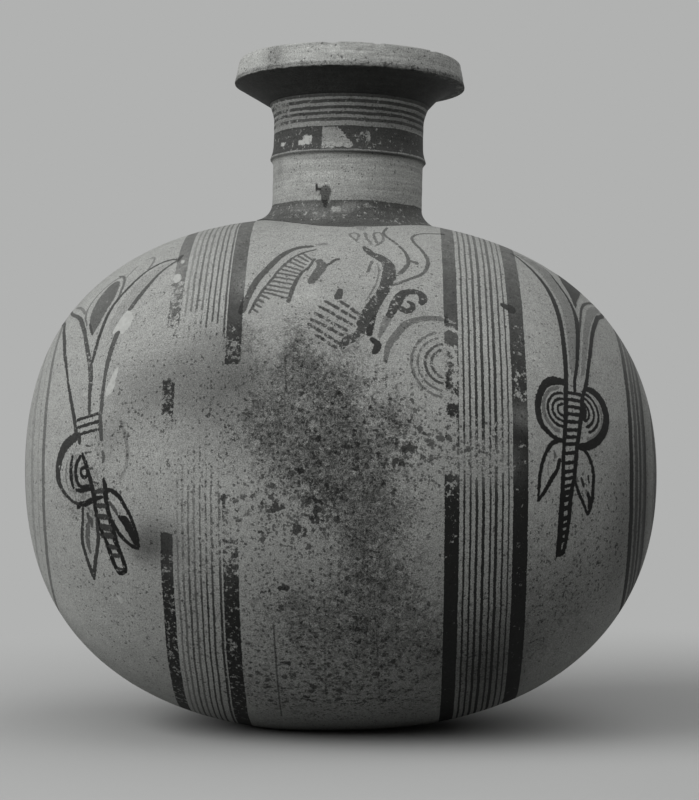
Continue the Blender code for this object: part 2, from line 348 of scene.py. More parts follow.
mesh = bmesh.new()
add_skin(mesh, even_stations(LONG_OUTSIDE), ROUND_OUTSIDE, on_barrel)
add_skin(mesh, even_stations(LONG_INSIDE, -WALL), ROUND_INSIDE, inside_point)
open_under_neck(mesh)
barrel = keep_piece("barrel_shell", mesh)
print("barrel faces:", len(barrel.data.polygons))

# %% [markdown]
# Each piece keeps a few numbers at its points, which the clay finish reads: how much paint
# is worn off, how dark the burial soil stained it, how crusted or pitted it is, and where
# painted shade, painted light and painted sheen lie. Soft patches are enough for these,
# because the fine speckle comes from noise inside the material. The patches are places on
# the barrel, so strokes painted there wear with the clay under them.

# %% Marks of wear, painted shade and painted light on the barrel
WORN_STRETCHES = [
    # The left outer band: chipped above, gone at two places, with one blot left between
    (-84, -72.4, 41.5, 56, 0.55), (-84, -72.4, 56, 60, 0.82), (-84, -72.4, 60, 69.5, 1.1),
    (-84, -78.8, 69.5, 78, 0.9), (-78.8, -72.4, 69.5, 77, 0.5), (-84, -72.4, 77, 82.5, 0.8),
    (-84, -72.4, 82.5, 87.5, 1.1), (-84, -72.4, 90.5, 103, 1.1),
    (-79.6, -72.4, 87.5, 90.5, 0.85), (-84, -77.6, 103, 107, 0.3),
    # The left thin lines
    (-72.4, -62, 52, 60, 0.7), (-62, -50.9, 56, 60, 0.7), (-72.4, -50.9, 60, 84, 1.1),
    (-72.4, -50.9, 84, 92, 0.68), (-72.4, -50.9, 92, 112, 0.5), (-71, -64, 105, 120, 0.35),
    # The left inner band
    (-50.9, -41, 57, 61, 0.38), (-50.9, -41, 61, 66.5, 0.6), (-50.9, -41, 66.5, 94, 0.93),
    (-48, -41, 94, 103, 1.0), (-50.9, -48, 94, 99, 0.64), (-50.9, -48, 99, 103, 0.9),
    (-50.9, -41, 103, 111, 0.6), (-49, -45, 126, 130, 0.75),
    # The right inner band
    (48, 56.3, 18, 33, 0.3), (48, 56.3, 54, 57, 0.5), (48, 56.3, 57, 58.2, 1.0),
    (54, 56.3, 58, 62, 1.0), (48, 56.3, 61, 62.6, 0.9), (48, 50.2, 61, 77, 0.85),
    (53.4, 56.3, 62, 72, 0.95), (50.2, 53.4, 62, 72, 0.4), (48, 56.3, 72, 74.6, 0.95),
    (50.2, 56.3, 74.6, 77.4, 0.3), (48, 56.3, 77.4, 90, 0.84), (48, 56.3, 90, 93.5, 0.6),
    # The right thin lines and outer band
    (56.3, 79, 76, 84, 0.45), (56.3, 73, 84, 91, 0.64), (73, 79.4, 84, 91, 0.5),
    (79.4, 88, 52, 66, 0.36), (79.4, 88, 66, 73, 0.5), (79.4, 88, 82, 88, 0.36),
    # The bands low on the front
    (-84, -72.4, 107, 160, 0.42), (-50.9, -41, 111, 160, 0.38), (48, 56.3, 93, 104, 0.34),
    (48, 56.3, 104, 160, 0.2), (79.6, 88, 88, 160, 0.2), (-72.4, -50.9, 112, 160, 0.2),
    # The figures
    (-124, -112, 56, 68, 0.45), (-141, -88, 22, 122, 0.24), (-24, 14, 55, 64, 0.45),
    (8, 30, 28, 38, 0.4), (8, 30, 38, 58, 0.4), (-46, 8, 34, 55, 0.24), (30, 50, 44, 60, 0.32),
    (34, 49, 60, 76, 0.45),
]
# Dust that greys the slip. The broad patch over the whole top also stands for painted sheen: the slip is
# greyed there as if light glanced off it from above.
DUST_AND_SHEEN_PATCHES = [
    (0, 0, 400, 52, 0.46), (-76, 40, 6, 14, 0.25), (-60, 98, 24, 14, 0.3), (66, 87, 16, 5, 0.4),
    (85, 76, 8, 3, 0.3), (42, 62, 14, 10, 0.2), (-45, 45, 5, 5, 0.22),
]
# Smears of soil, with painted shade and light among them: the patches at -81 and -88 mm by the hand dent
# paint its shadow. Those low on the right, at the right end and low on the belly paint the shade of the side
# away from the lamps. The lightening ones at the lower left and upper right are painted light.
SMEAR_AND_SHADE_PATCHES = [
    (-64, 70, 30, 9, 0.62), (-48, 82, 26, 8, 0.28), (-50, 60, 14, 4, 0.3), (-104, 82, 9, 5, 0.32),
    (-24, 86, 10, 8, 0.22), (-94, 73, 14, 8, 0.2), (-30, 70, 22, 8, 0.28),
    (-81, 105.5, 14.5, 5, 0.74), (0, 60, 20, 6, 0.2), (100, 128, 30, 22, 0.4),
    (135, 110, 10, 30, 0.45), (44, 140, 40, 20, 0.3), (-15, 50, 8, 3, -0.3), (-32, 64, 7, 3, -0.1),
    (140, 95, 10, 60, 0.2), (120, 104, 12, 34, 0.14), (150, 96, 6, 60, 0.42),
    (66, 132, 24, 10, 0.35), (-40, 70, 16, 6, 0.15), (0, 230, 90, 22, 0.25),
    (-110, 285, 30, 16, 0.15), (60, 30, 60, 30, -0.06), (-120, 139, 30, 14, -0.34),
    (67, 64, 15, 16, -0.2), (12, 38, 7, 6, 0.08), (-56, 92, 12, 6, -0.12), (-88, 108, 7, 4, 0.28),
    (94, 54, 10, 12, -0.12), (72, 148, 18, 14, 0.5),
]
# Soil stains. The patches low on the front of the belly, from about 118 degrees down, also stand in for
# painted shade on the underside.
SOIL_AND_SHADE_PATCHES = [
    (-12, 81, 26, 13, 0.78), (14, 79, 20, 10, 0.32), (10, 94, 24, 10, 0.66), (27, 78, 10, 6, 0.3),
    (20, 105, 18, 12, 0.48), (-16, 68, 26, 6, 0.24), (24, 84, 12, 12, 0.08), (-18, 61, 8, 6, 0.55),
    (-40, 61, 9, 5, 0.45), (14, 57, 5, 4, 0.3), (44, 98, 12, 8, 0.12), (0, 68, 20, 6, 0.26),
    (-38, 80, 12, 7, 0.3), (-112, 98, 16, 9, 0.25), (-118, 91, 12, 11, 0.32),
    (8, 120, 46, 13, 0.60), (-20, 120, 24, 8, 0.15), (40, 140, 40, 20, 0.35),
    (-24, 144, 34, 14, 0.4), (100, 126, 30, 22, 0.25), (120, 44, 20, 24, 0.12),
    (64, 86, 10, 5, 0.25), (-60, 118, 14, 12, 0.20), (20, 250, 40, 14, 0.35),
    (-70, 215, 30, 12, 0.3), (90, 300, 20, 10, 0.3),
]
PITTED_PATCHES = [
    (4, 80, 46, 16, 0.9), (-22, 97, 26, 8, 0.7), (38, 84, 18, 9, 0.8), (0, 104, 50, 12, 0.35),
    (0, 130, 66, 22, 0.8), (0, 143, 56, 11, 0.6), (-106, 126, 26, 16, 0.3),
    (112, 120, 26, 18, 0.25), (-64, 74, 34, 12, 0.4), (-56, 96, 34, 12, 0.14), (68, 84, 16, 8, 0.7),
    (110, 104, 30, 24, 0.4), (-104, 90, 24, 20, 0.35), (0, 50, 200, 14, 0.14),
    (0, 110, 300, 55, 0.24), (120, 118, 34, 34, 0.15),
]
BLOTTED_PATCHES = [
    (-26, 97, 20, 6, 1.15), (-4, 99, 18, 6, 0.6), (38, 84, 12, 8, 0.9), (18, 103, 14, 6, 0.7),
    (-47, 96, 7, 10, 0.9), (-12, 61, 16, 5, 0.6), (20, 65, 10, 5, 0.5), (-19, 66, 4, 9, 0.6),
    (-42, 62, 7, 5, 0.8), (-12, 124, 50, 16, 0.55), (2, 142, 44, 9, 0.4), (-22, 112, 12, 4, 0.5),
    (0, 82, 40, 12, 0.65), (-66, 88, 16, 5, 0.35), (-70, 108, 6, 8, 0.6), (10, 240, 40, 12, 0.5),
]


def stretches(along, degrees, patches, soft=0.6):
    """The largest of flat patches, each (along from, to, degrees from, to, amount)."""
    most = np.zeros(np.broadcast(along, degrees).shape)
    for start, end, first, last, amount in patches:
        inside = np.minimum(np.minimum(along - start, end - along),
                            np.minimum(degrees - first, last - degrees) * 2)
        most = np.maximum(most, amount * np.clip(inside / soft / 2 + 0.5, 0, 1))
    return most


def painters_along(along, degrees):
    """The distance along at which the banding brush was held: it strayed inwards on top."""
    top = np.maximum(np.cos(np.radians(degrees)), 0) ** 2
    right = 2.2 * np.clip((along - 45) / 35, 0, 1)
    left = 1.9 * np.clip((-along - 50) / 5, 0, 1)
    return along + (right - left) * top


def write_mark(piece, name, values):
    """Keeps one number at each point of a piece, under a name that its finish reads."""
    layer = piece.data.attributes.new(name, "FLOAT", "POINT")
    layer.data.foreach_set("value", np.asarray(values, np.float32))


def read_points(piece):
    """The points of a piece, in mm."""
    points = np.zeros(len(piece.data.vertices) * 3)
    piece.data.vertices.foreach_get("co", points)
    return points.reshape(-1, 3) / MM


def barrel_place(points):
    """The place on the barrel over each point, as distances along and degrees round."""
    height = points[:, 2] - AXIS_HEIGHT - axis_rise(points[:, 0])
    return points[:, 0], np.degrees(np.arctan2(-points[:, 1], height))


def mark_wear(piece, along, degrees, dust_and_sheen_amount=1.0):
    """Keeps at each point of a piece how worn, dusty, stained and pitted its place is, and the shade, light
    and sheen painted there.
    """
    write_mark(piece, "along", painters_along(along, degrees))
    write_mark(piece, "girth", barrel_radius(along))
    write_mark(piece, "worn", 0.1 + stretches(along, degrees, WORN_STRETCHES))
    write_mark(piece, "dust_and_sheen", dust_and_sheen_amount * bumps(along, degrees, DUST_AND_SHEEN_PATCHES))
    write_mark(piece, "smear_and_shade", bumps(along, degrees, SMEAR_AND_SHADE_PATCHES))
    write_mark(piece, "soil_and_shade", bumps(along, degrees, SOIL_AND_SHADE_PATCHES))
    write_mark(piece, "pitted", bumps(along, degrees, PITTED_PATCHES))
    write_mark(piece, "blotted", bumps(along, degrees, BLOTTED_PATCHES))


mark_wear(barrel, *barrel_place(read_points(barrel)))
marks = [layer.name for layer in barrel.data.attributes if layer.data_type == "FLOAT"]
print("marks on the barrel:", marks)

# %% [markdown]
# The neck and the coil smoothed round its root are one turned form on the finished jug.
# Its section is drawn from the lip down the outside, over the sharp ridge half-way, and out
# along the flare at the root, then under the barrel's skin and back up the bore. The root
# follows the barrel's saddle, so the section changes with the angle round the neck.

# %% Neck and root mesh
NECK_RADIUS, BORE_RADIUS, MOUTH_RADIUS, MOUTH_DEPTH = 38.3, 31.9, 34.5, 20.0
RIDGE_HEIGHT, RIDGE_PROUD, RIDGE_SWELL, RIDGE_UNDERCUT = 29.4, 1.7, 8.5, 3.0
RIM_TOP, RIM_FACE, RIM_UNDERSIDE_RISE = 80.0, 12.1, 10.5
RIM_FOOT = RIM_TOP - RIM_FACE - RIM_UNDERSIDE_RISE
FLARE_HEIGHT, FLARE_REACH = 10.0, 2.4
ROOT_HEIGHT, ROOT_REACH, ROOT_SHIFT = 8.0, 9.5, 1.8
ROUND_NECK = 384


def barrel_top(x, y, grown=0.0):
    """The height of the barrel's upper surface over a point, in mm."""
    radius = barrel_radius(x, grown)
    return AXIS_HEIGHT + axis_rise(x) + np.sqrt(np.maximum(radius ** 2 - y ** 2, 0))


def in_frame(radius, angle, height):
    """A point at a radius and angle from the neck's axis, at a height along the neck."""
    across = radius * math.cos(angle)
    x = NECK_OFFSET + across * math.cos(NECK_LEAN) + height * math.sin(NECK_LEAN)
    z = CROWN_HEIGHT + height * math.cos(NECK_LEAN) - across * math.sin(NECK_LEAN)
    return (x * MM, radius * math.sin(angle) * MM, z * MM)


def saddle(radius, angle, grown=0.0):
    """The height along the neck at which the barrel's surface lies, at a radius and angle."""
    x = NECK_OFFSET + radius * math.cos(angle)
    return float(barrel_top(np.array(x), radius * math.sin(angle), grown)) - CROWN_HEIGHT


def neck_radius(height):
    """The neck's outer radius at a height above the crown: waist, ridge, waist, flare."""
    radius = NECK_RADIUS
    if RIDGE_HEIGHT - RIDGE_UNDERCUT < height < RIDGE_HEIGHT:
        radius += RIDGE_PROUD * ((height - RIDGE_HEIGHT) / RIDGE_UNDERCUT + 1) ** 1.6
    elif RIDGE_HEIGHT <= height < RIDGE_HEIGHT + RIDGE_SWELL:
        radius += RIDGE_PROUD * (1 - (height - RIDGE_HEIGHT) / RIDGE_SWELL) ** 2
    flare = RIM_FOOT - FLARE_HEIGHT
    radius += FLARE_REACH * min(max((height - flare) / FLARE_HEIGHT, 0), 1) ** 2
    return radius - 0.05 - 0.05 * math.sin(height / 1.4) * math.sin(height / 9)


def neck_section(angle):
    """The closed section of the neck at one angle, as (radius, height) pairs."""
    foot = saddle(NECK_RADIUS, angle)
    top_of_root = foot + ROOT_HEIGHT
    reach = ROOT_REACH + ROOT_SHIFT * math.cos(angle)
    section = [(NECK_RADIUS + FLARE_REACH - 0.1, RIM_TOP - 0.2)]
    for height in np.linspace(RIM_TOP - 4, top_of_root, 120):
        section.append((neck_radius(height), float(height)))
    for share in np.linspace(0, 1, 16)[1:]:
        swing = share * math.pi / 2
        radius = NECK_RADIUS + reach * (1 - math.cos(swing))
        lift = ROOT_HEIGHT * (1 - math.sin(swing)) - 0.35 * share ** 4
        section.append((radius, saddle(radius, angle) + lift))
    section.append((NECK_RADIUS + 3, saddle(NECK_RADIUS + 3, angle) - WALL / 2))
    section.append((NECK_RADIUS, saddle(NECK_RADIUS, angle, -WALL) - 1.0))
    section.append((BORE_RADIUS + 1, saddle(BORE_RADIUS, angle, -WALL) - 1.2))
    for height in np.linspace(saddle(BORE_RADIUS, angle, -WALL) - 0.4, RIM_TOP - MOUTH_DEPTH, 24):
        section.append((BORE_RADIUS, float(height)))
    for share in np.linspace(0, 1, 9)[1:]:
        radius = BORE_RADIUS + (MOUTH_RADIUS - BORE_RADIUS) * share ** 2
        section.append((radius, RIM_TOP - 0.25 - MOUTH_DEPTH * (1 - share)))
    section.append((MOUTH_RADIUS + 0.8, RIM_TOP - 0.1))
    return section


def loft_round(name, sections):
    """Joins closed sections, given at equal angles round the neck, into one ring."""
    mesh = bmesh.new()
    loops = []
    for step, section in enumerate(sections):
        angle = math.tau * step / len(sections)
        loops.append([mesh.verts.new(in_frame(radius, angle, height)) for radius, height in section])
    for near, far in zip(loops, loops[1:] + loops[:1]):
        for step in range(len(near)):
            other = (step + 1) % len(near)
            mesh.faces.new((near[step], near[other], far[other], far[step]))
    return keep_piece(name, mesh)


angles = [math.tau * step / ROUND_NECK for step in range(ROUND_NECK)]
neck = loft_round("neck_and_root", [neck_section(angle) for angle in angles])
print("neck faces:", len(neck.data.polygons))

# %% [markdown]
# The rim is a heavy ring luted round the lip. Its top is flat, its face leans in, and its
# underside rises in a shallow hollow from the neck. Years of knocks have chipped its edges
# and left grit holes, so the section's points are pushed in where a chip or a hole is.

# %% Rim mesh
RIM_RADIUS, RIM_LEAN, RIM_EDGE_ROUND = 59.0, 2.5, 0.9
RIM_HOLLOW, RIM_HOLLOW_SHIFT = 1.7, 1.7
CHIPS = [
    (262, 78.6, 3.2, 0.9), (285, 79.2, 2.2, 0.7), (238, 68.4, 3.0, 0.8), (301, 68.2, 2.0, 0.6),
    (250, 73.5, 1.6, 0.5), (276, 75.2, 1.2, 0.5), (222, 76.0, 1.4, 0.5), (40, 79.0, 4.0, 1.0),
    (120, 78.8, 3.0, 0.8), (160, 68.5, 3.0, 0.7), (75, 68.6, 2.4, 0.6), (318, 79.3, 1.8, 0.6),
]


def rim_outline(angle):
    """The rim's section with even steps: underside, face, rounded edges and top."""
    hollow_here = RIM_HOLLOW + RIM_HOLLOW_SHIFT * math.cos(angle)
    inner = NECK_RADIUS + FLARE_REACH - 0.6
    points = [(inner, RIM_FOOT)]
    lower = (RIM_RADIUS, RIM_TOP - RIM_FACE)
    for share in np.linspace(0.04, 0.97, 24):
        radius = NECK_RADIUS + FLARE_REACH + (lower[0] - NECK_RADIUS - FLARE_REACH) * share
        sag = hollow_here * math.sin(math.pi * share)
        points.append((radius, RIM_FOOT + RIM_UNDERSIDE_RISE * share + sag))
    points += [(RIM_RADIUS - 0.12, lower[1] - 0.1), (RIM_RADIUS - 0.05, lower[1] + 0.5)]
    upper = (RIM_RADIUS - RIM_LEAN, RIM_TOP)
    for share in np.linspace(0.1, 0.86, 13):
        points.append((lower[0] - RIM_LEAN * share, lower[1] + RIM_FACE * share))
    for share in np.linspace(0, 1, 6):
        swing = share * math.pi / 2
        points.append((upper[0] - RIM_EDGE_ROUND * (1 - math.cos(swing)) + 0.1 * (1 - share),
                       RIM_TOP - RIM_EDGE_ROUND * (1 - math.sin(swing))))
    for radius in np.linspace(upper[0] - RIM_EDGE_ROUND - 1, MOUTH_RADIUS + 1.2, 22):
        points.append((float(radius), RIM_TOP))
    points += [(MOUTH_RADIUS + 0.3, RIM_TOP - 0.3), (MOUTH_RADIUS + 0.1, RIM_TOP - 1.2),
               (MOUTH_RADIUS + 0.6, RIM_TOP - 3.0)]
    return points


def knocked(angle, radius, height):
    """Pulls a point of the rim in where a chip, a grit hole or slow unevenness lies."""
    degrees = math.degrees(angle)
    depth = 0.08 + 0.05 * math.sin(3 * angle + height) + 0.04 * math.sin(7 * angle - 2 * height)
    for place, level, size, deep in CHIPS:
        apart = ((degrees - place + 180) % 360 - 180) * math.pi / 180 * radius
        near = (apart ** 2 + (height - level) ** 2) / size ** 2
        depth += deep * math.exp(-near ** 2)
    outside = radius > NECK_RADIUS + FLARE_REACH + 1
    lean_in = depth * min(max((radius - 46) / 8, 0), 1) if outside else 0
    drop = depth * 0.5 if height > RIM_TOP - 1.5 else 0
    return radius - lean_in, height - drop


sections = [[knocked(angle, radius, height) for radius, height in rim_outline(angle)]
            for angle in angles]
rim = loft_round("rim_ring", sections)
print("rim faces:", len(rim.data.polygons))

# %% [markdown]
# One strap handle springs from the ridge on the neck and comes down on the shoulder behind.
# It was pulled from a roll of clay, so its section is a flat oval with a shallow groove where
# the thumb ran, and its ends spread where they were pressed on. It follows a cubic curve.

# %% Handle mesh
HANDLE_REACH, HANDLE_RISE, HANDLE_FALL, HANDLE_FOOT = 66.0, 15.0, 20.0, 83.0
HANDLE_WIDTH, HANDLE_END_WIDTH = 32.0, 42.0
HANDLE_THICK, HANDLE_END_THICK = 12.5, 15.5
HANDLE_RINGS, HANDLE_SIDES = 110, 64
HANDLE_CLEARANCE, HANDLE_SINK = 0.15, 0.12
GROOVE_DEPTH, GROOVE_WIDTH = 0.8, 5.5


def handle_guides():
    """The four guide points of the handle's middle line, as (y, z) in mm."""
    springing = CROWN_HEIGHT + RIDGE_HEIGHT
    half_end = HANDLE_END_WIDTH / 2
    depth = math.sqrt(NECK_RADIUS ** 2 - half_end ** 2) - HANDLE_END_THICK / 2
    outer_foot = HANDLE_FOOT + HANDLE_END_THICK / 2
    foot = float(barrel_top(np.array(NECK_OFFSET + half_end), outer_foot))
    return (Vector((depth, springing - HANDLE_END_THICK / 3)),
            Vector((NECK_RADIUS + HANDLE_REACH * 0.4, springing + HANDLE_RISE)),
            Vector((NECK_RADIUS + HANDLE_REACH, springing - HANDLE_FALL)),
            Vector((HANDLE_FOOT - HANDLE_THICK / 4, foot - HANDLE_THICK / 2)))


def handle_line(share):
    """A point of the middle line and its direction."""
    start, rise, fall, end = handle_guides()
    rest = 1 - share
    point = start * rest ** 3 + rise * 3 * rest ** 2 * share + fall * 3 * rest * share ** 2
    slope = (rise - start) * rest ** 2 + (fall - rise) * 2 * rest * share
    return point + end * share ** 3, (slope + (end - fall) * share ** 2).normalized()


mesh = bmesh.new()
loops = []
for ring in range(HANDLE_RINGS + 1):
    share = ring / HANDLE_RINGS
    middle, slope = handle_line(share)
    spread = abs(2 * share - 1) ** 3
    width = HANDLE_WIDTH + (HANDLE_END_WIDTH - HANDLE_WIDTH) * spread
    thick = HANDLE_THICK + (HANDLE_END_THICK - HANDLE_THICK) * spread
    half_width = width / 2 - HANDLE_CLEARANCE
    half_thick = thick / 2 - HANDLE_CLEARANCE
    loop = []
    for side in range(HANDLE_SIDES):
        angle = math.tau * side / HANDLE_SIDES
        across = half_width * math.cos(angle)
        thumb = GROOVE_DEPTH * math.exp(-(across / GROOVE_WIDTH) ** 2)
        groove = thumb * max(math.sin(angle), 0) * (1 - spread)
        uneven = 0.12 * math.sin(9 * share + 3 * angle) + 0.08 * math.sin(23 * share - 2 * angle)
        depth = half_thick * math.copysign(abs(math.sin(angle)) ** 0.8, math.sin(angle))
        depth -= groove + (HANDLE_SINK + uneven * 0.5) * math.copysign(1, math.sin(angle))
        y, z = middle.x - slope.y * depth, middle.y + slope.x * depth
        loop.append(mesh.verts.new(((NECK_OFFSET + across) * MM, y * MM, z * MM)))
    loops.append(loop)
for near, far in zip(loops, loops[1:]):
    for step in range(HANDLE_SIDES):
        other = (step + 1) % HANDLE_SIDES
        mesh.faces.new((near[step], near[other], far[other], far[step]))
for loop in (loops[0], loops[-1]):
    mesh.faces.new(loop)
handle = keep_piece("strap_handle", mesh)
print("handle faces:", len(handle.data.polygons))

# %% [markdown]
# Old unglazed clay is a dull mid grey in a black-and-white photograph, with fine grain,
# slow clouds of tone, dark pinholes where grit fell out, and soil stains. The recipe below
# builds that once, from noise of several sizes, and every member uses it. It takes its
# stains, its painted shade and light, and its pits from the numbers kept at the mesh's
# points, so the pattern has no seam.

# %% The clay recipe
CLAY_GREY = 0.37
PAINT_GREY = 0.009
CAST = (0.985, 1.0, 0.962)
GRAIN_DEPTH = 0.0006


def clay_ground(tree):
    """The grey of bare clay, and the height of its grain for the bump."""
    pitted, blotted = tree.mark("pitted"), tree.mark("blotted")
    patchy = tree.math("MULTIPLY_ADD", tree.noise(70, 6, 0.7), 1.3, 0.35)
    soil_and_shade = tree.math("MULTIPLY", tree.mark("soil_and_shade"), patchy)
    cloud = tree.noise(24, 5, 0.6)
    mottle = tree.noise(150, 8, 0.72, distortion=0.3)
    grain = tree.noise(1000, 3, 0.7)
    sand = tree.noise(2100, 1, 0.5)

    # The clay itself: clouds, grain, sand that shows more where soil filled in, and mottles
    grey = tree.math("MULTIPLY_ADD", cloud, 0.34, 0.83)
    grey = tree.math("MULTIPLY", grey, tree.math("MULTIPLY_ADD", grain, 0.70, 0.65))
    coarse = tree.math("MULTIPLY_ADD", soil_and_shade, 1.8, 1.7)
    speckle = tree.math("MULTIPLY_ADD", tree.math("SUBTRACT", sand, 0.5), coarse, 1.0)
    grey = tree.math("MULTIPLY", grey, tree.math("MAXIMUM", speckle, 0.2))
    grey = tree.math("MULTIPLY", grey, tree.math("MULTIPLY_ADD", mottle, 0.50, 0.75))
    # Smears darken the clay, and the same numbers carry painted shade and painted light
    smear_and_shade_factor = tree.math("MULTIPLY_ADD", tree.mark("smear_and_shade"), -0.72, 1.0)
    grey = tree.math("MULTIPLY", grey, smear_and_shade_factor)

    # Soil soaked into the clay, with painted shade low on the belly: a smooth darkening,
    # ragged mottles, and darker crumbs
    soil_and_shade_darkening = tree.math("MULTIPLY_ADD", tree.math("MINIMUM", soil_and_shade, 1.2), -0.28, 1.0)
    grey = tree.math("MULTIPLY", grey, soil_and_shade_darkening)
    fine = tree.noise(620, 4, 0.75)
    for scale, fine_share, crowding, low, high, depth in ((210, 0.40, 0.22, 0.57, 0.67, 0.40),
                                                          (330, 0.45, 0.17, 0.62, 0.70, 0.50)):
        broken = tree.math("MULTIPLY", tree.noise(scale, 6, 0.7, distortion=0.4), 1 - fine_share)
        broken = tree.math("MULTIPLY_ADD", fine, fine_share, broken)
        crust = tree.step(tree.math("MULTIPLY_ADD", soil_and_shade, crowding, broken), low, high)
        grey = tree.math("MULTIPLY", grey, tree.math("MULTIPLY_ADD", crust, -depth, 1.0))

    # Black blots where a scab came off and filled with dirt
    scab, chance = tree.cells(120, tree.shaken(260, 0.012))
    size = tree.math("MULTIPLY_ADD", blotted, 0.44, tree.math("MULTIPLY_ADD", chance, 0.50, -0.50))
    blot = tree.step(tree.math("SUBTRACT", scab, size), -0.05, 0.05, 1.0, 0.0)

    # Pinholes everywhere, more of them where the surface is eroded
    near, chance = tree.cells(620, tree.shaken(900, 0.0022))
    size = tree.math("MULTIPLY_ADD", pitted, 0.24, tree.math("MULTIPLY_ADD", chance, 0.60, -0.31))
    hole = tree.step(tree.math("SUBTRACT", near, size), -0.06, 0.06, 1.0, 0.0)
    wide, luck = tree.cells(240, tree.shaken(520, 0.0050))
    size = tree.math("MULTIPLY_ADD", pitted, 0.36, tree.math("MULTIPLY_ADD", luck, 0.55, -0.53))
    pit = tree.step(tree.math("SUBTRACT", wide, size), -0.06, 0.06, 1.0, 0.0)
    holes = tree.math("MAXIMUM", tree.math("MULTIPLY", hole, 0.68), tree.math("MULTIPLY", pit, 0.8))
    holes = tree.math("MAXIMUM", holes, tree.math("MULTIPLY", blot, 0.92))
    grey = tree.math("MULTIPLY", grey, tree.math("MULTIPLY_ADD", holes, -0.88, 1.0))

    # The height: mottles and grain stand up, crumbs of soil stand higher, holes go down
    height = tree.math("MULTIPLY_ADD", mottle, 0.5, tree.math("MULTIPLY", grain, 0.25))
    height = tree.math("MULTIPLY_ADD", tree.math("MULTIPLY", soil_and_shade, broken), 2.2, height)
    height = tree.math("MULTIPLY_ADD", holes, -0.7, height)
    return tree.math("MULTIPLY", grey, CLAY_GREY), height


def paint_left(tree, worn):
    """The share of dark slip that time has left, from 0 to 1, broken up by fine noise."""
    flake = tree.noise(420, 7, 0.74)
    limit = tree.math("MULTIPLY_ADD", worn, 0.36, 0.24)
    return tree.step(tree.math("SUBTRACT", flake, limit), -0.03, 0.04)


def finish_material(tree, grey, height, cover):
    """Joins clay and slip: the slip is darker and a little smoother than the clay."""
    # The slip is greyed by dust, and over the top by painted sheen
    dust_and_sheen = tree.mark("dust_and_sheen")
    dust_and_sheen_noise = tree.math("MULTIPLY_ADD", tree.noise(300, 6, 0.7), 1.2, 0.4)
    dust_and_sheen_amount = tree.math("MULTIPLY", dust_and_sheen, dust_and_sheen_noise)
    speck = tree.step(tree.noise(1500, 2, 0.6), 0.68, 0.76, 0.0, 0.3)
    bare = tree.math("MAXIMUM", dust_and_sheen_amount, speck)
    cover = tree.math("MULTIPLY", cover, tree.math("SUBTRACT", 1.0, bare))
    streaks = tree.math("MULTIPLY_ADD", tree.noise(210, 6, 0.7), 2.0, 0.0)
    slip = tree.math("MULTIPLY", streaks, PAINT_GREY)
    tone = tree.blend(cover, grey, slip)
    tree.feed(tree.shader.inputs["Base Color"], tree.tint(tone, *CAST))
    tree.feed(tree.shader.inputs["Roughness"], tree.math("MULTIPLY_ADD", cover, -0.28, 0.92))
    tree.shader.inputs["Specular IOR Level"].default_value = 0.14
    tree.feed(tree.shader.inputs["Normal"], tree.bump(height, 0.42, GRAIN_DEPTH))
    return tree.material

# %% [markdown]
# The bands were laid on with the barrel turning, so they are rings at set distances along
# it: on each side two broad bands with eight thin lines between them, and finer rings at
# the ends. Their edges are written down in millimetres and become the stops of a ramp. The
# brush wavered, so a little noise is added to the distance before it is looked up.

# %% Bands round the barrel
LEFT_BANDS = [
    (-79.2, -73.5, 0.97), (-71.65, -70.65, 0.5), (-69.2, -68.2, 0.62), (-66.5, -65.45, 0.8),
    (-63.8, -62.8, 0.68), (-61.1, -60.1, 0.85), (-58.45, -57.45, 0.88), (-55.9, -54.9, 0.88),
    (-52.3, -51.2, 0.92), (-50.4, -43.35, 0.98),
]
RIGHT_BANDS = [
    (49.05, 55.6, 0.98), (57.4, 58.35, 0.95), (60.2, 61.2, 0.95), (62.9, 64.1, 0.95),
    (65.85, 67.35, 0.96), (69.35, 70.25, 0.93), (71.75, 73.05, 0.95), (74.95, 75.85, 0.93),
    (77.8, 78.6, 0.9), (80.15, 87.25, 0.98),
]
LEFT_END_LINES = [(-148.4, -146.6, 0.25), (-143.6, -142.8, 0.14), (-140.5, -138.7, 0.62)]
RIGHT_END_LINES = [
    (137.75, 139.9, 0.99), (139.9, 140.9, 0.3), (140.9, 142.6, 0.82), (142.6, 143.3, 0.4),
    (143.3, 144.6, 0.92), (144.6, 145.6, 0.45), (145.6, 146.5, 0.78), (146.5, 147.9, 0.95),
    (147.9, 149.2, 0.25), (149.2, 153.8, 0.15), (153.8, 155.6, 0.88),
]
END_RINGS = [
    (0.0, 7.0, 0.9), (18.0, 20.5, 0.85), (23.5, 25.0, 0.8), (36.0, 38.5, 0.85), (41.5, 43.0, 0.8),
]
RAMP_MARGIN = 1.0


def lines_cover(tree, place, lines):
    """The slip of one set of lines. Its ramp spans only the set, since a ramp has few steps."""
    start, length = lines[0][0] - RAMP_MARGIN, lines[-1][1] - lines[0][0] + 2 * RAMP_MARGIN
    share = tree.math("MULTIPLY_ADD", place, 1 / length, -start / length)
    stops = {}
    for near, far, load in lines:
        stops[(near - start) / length] = load
        stops.setdefault((far - start) / length, 0)
    return tree.ramp(share, sorted(stops.items()))


def band_cover(tree):
    """The slip of the bands: which share of each place along the barrel is painted."""
    waver = tree.math("MULTIPLY_ADD", tree.noise(55, 2, 0.5), 0.8, -0.4)
    hair = tree.math("MULTIPLY_ADD", tree.noise(900, 3, 0.6), 0.9, -0.45)
    shake = tree.math("ADD", waver, hair)
    along = tree.math("ADD", tree.mark("along"), shake)
    cover = lines_cover(tree, tree.math("ADD", tree.mark("girth"), shake), END_RINGS)
    for lines in (LEFT_BANDS, RIGHT_BANDS, LEFT_END_LINES, RIGHT_END_LINES):
        cover = tree.math("MAXIMUM", cover, lines_cover(tree, along, lines))
    return cover


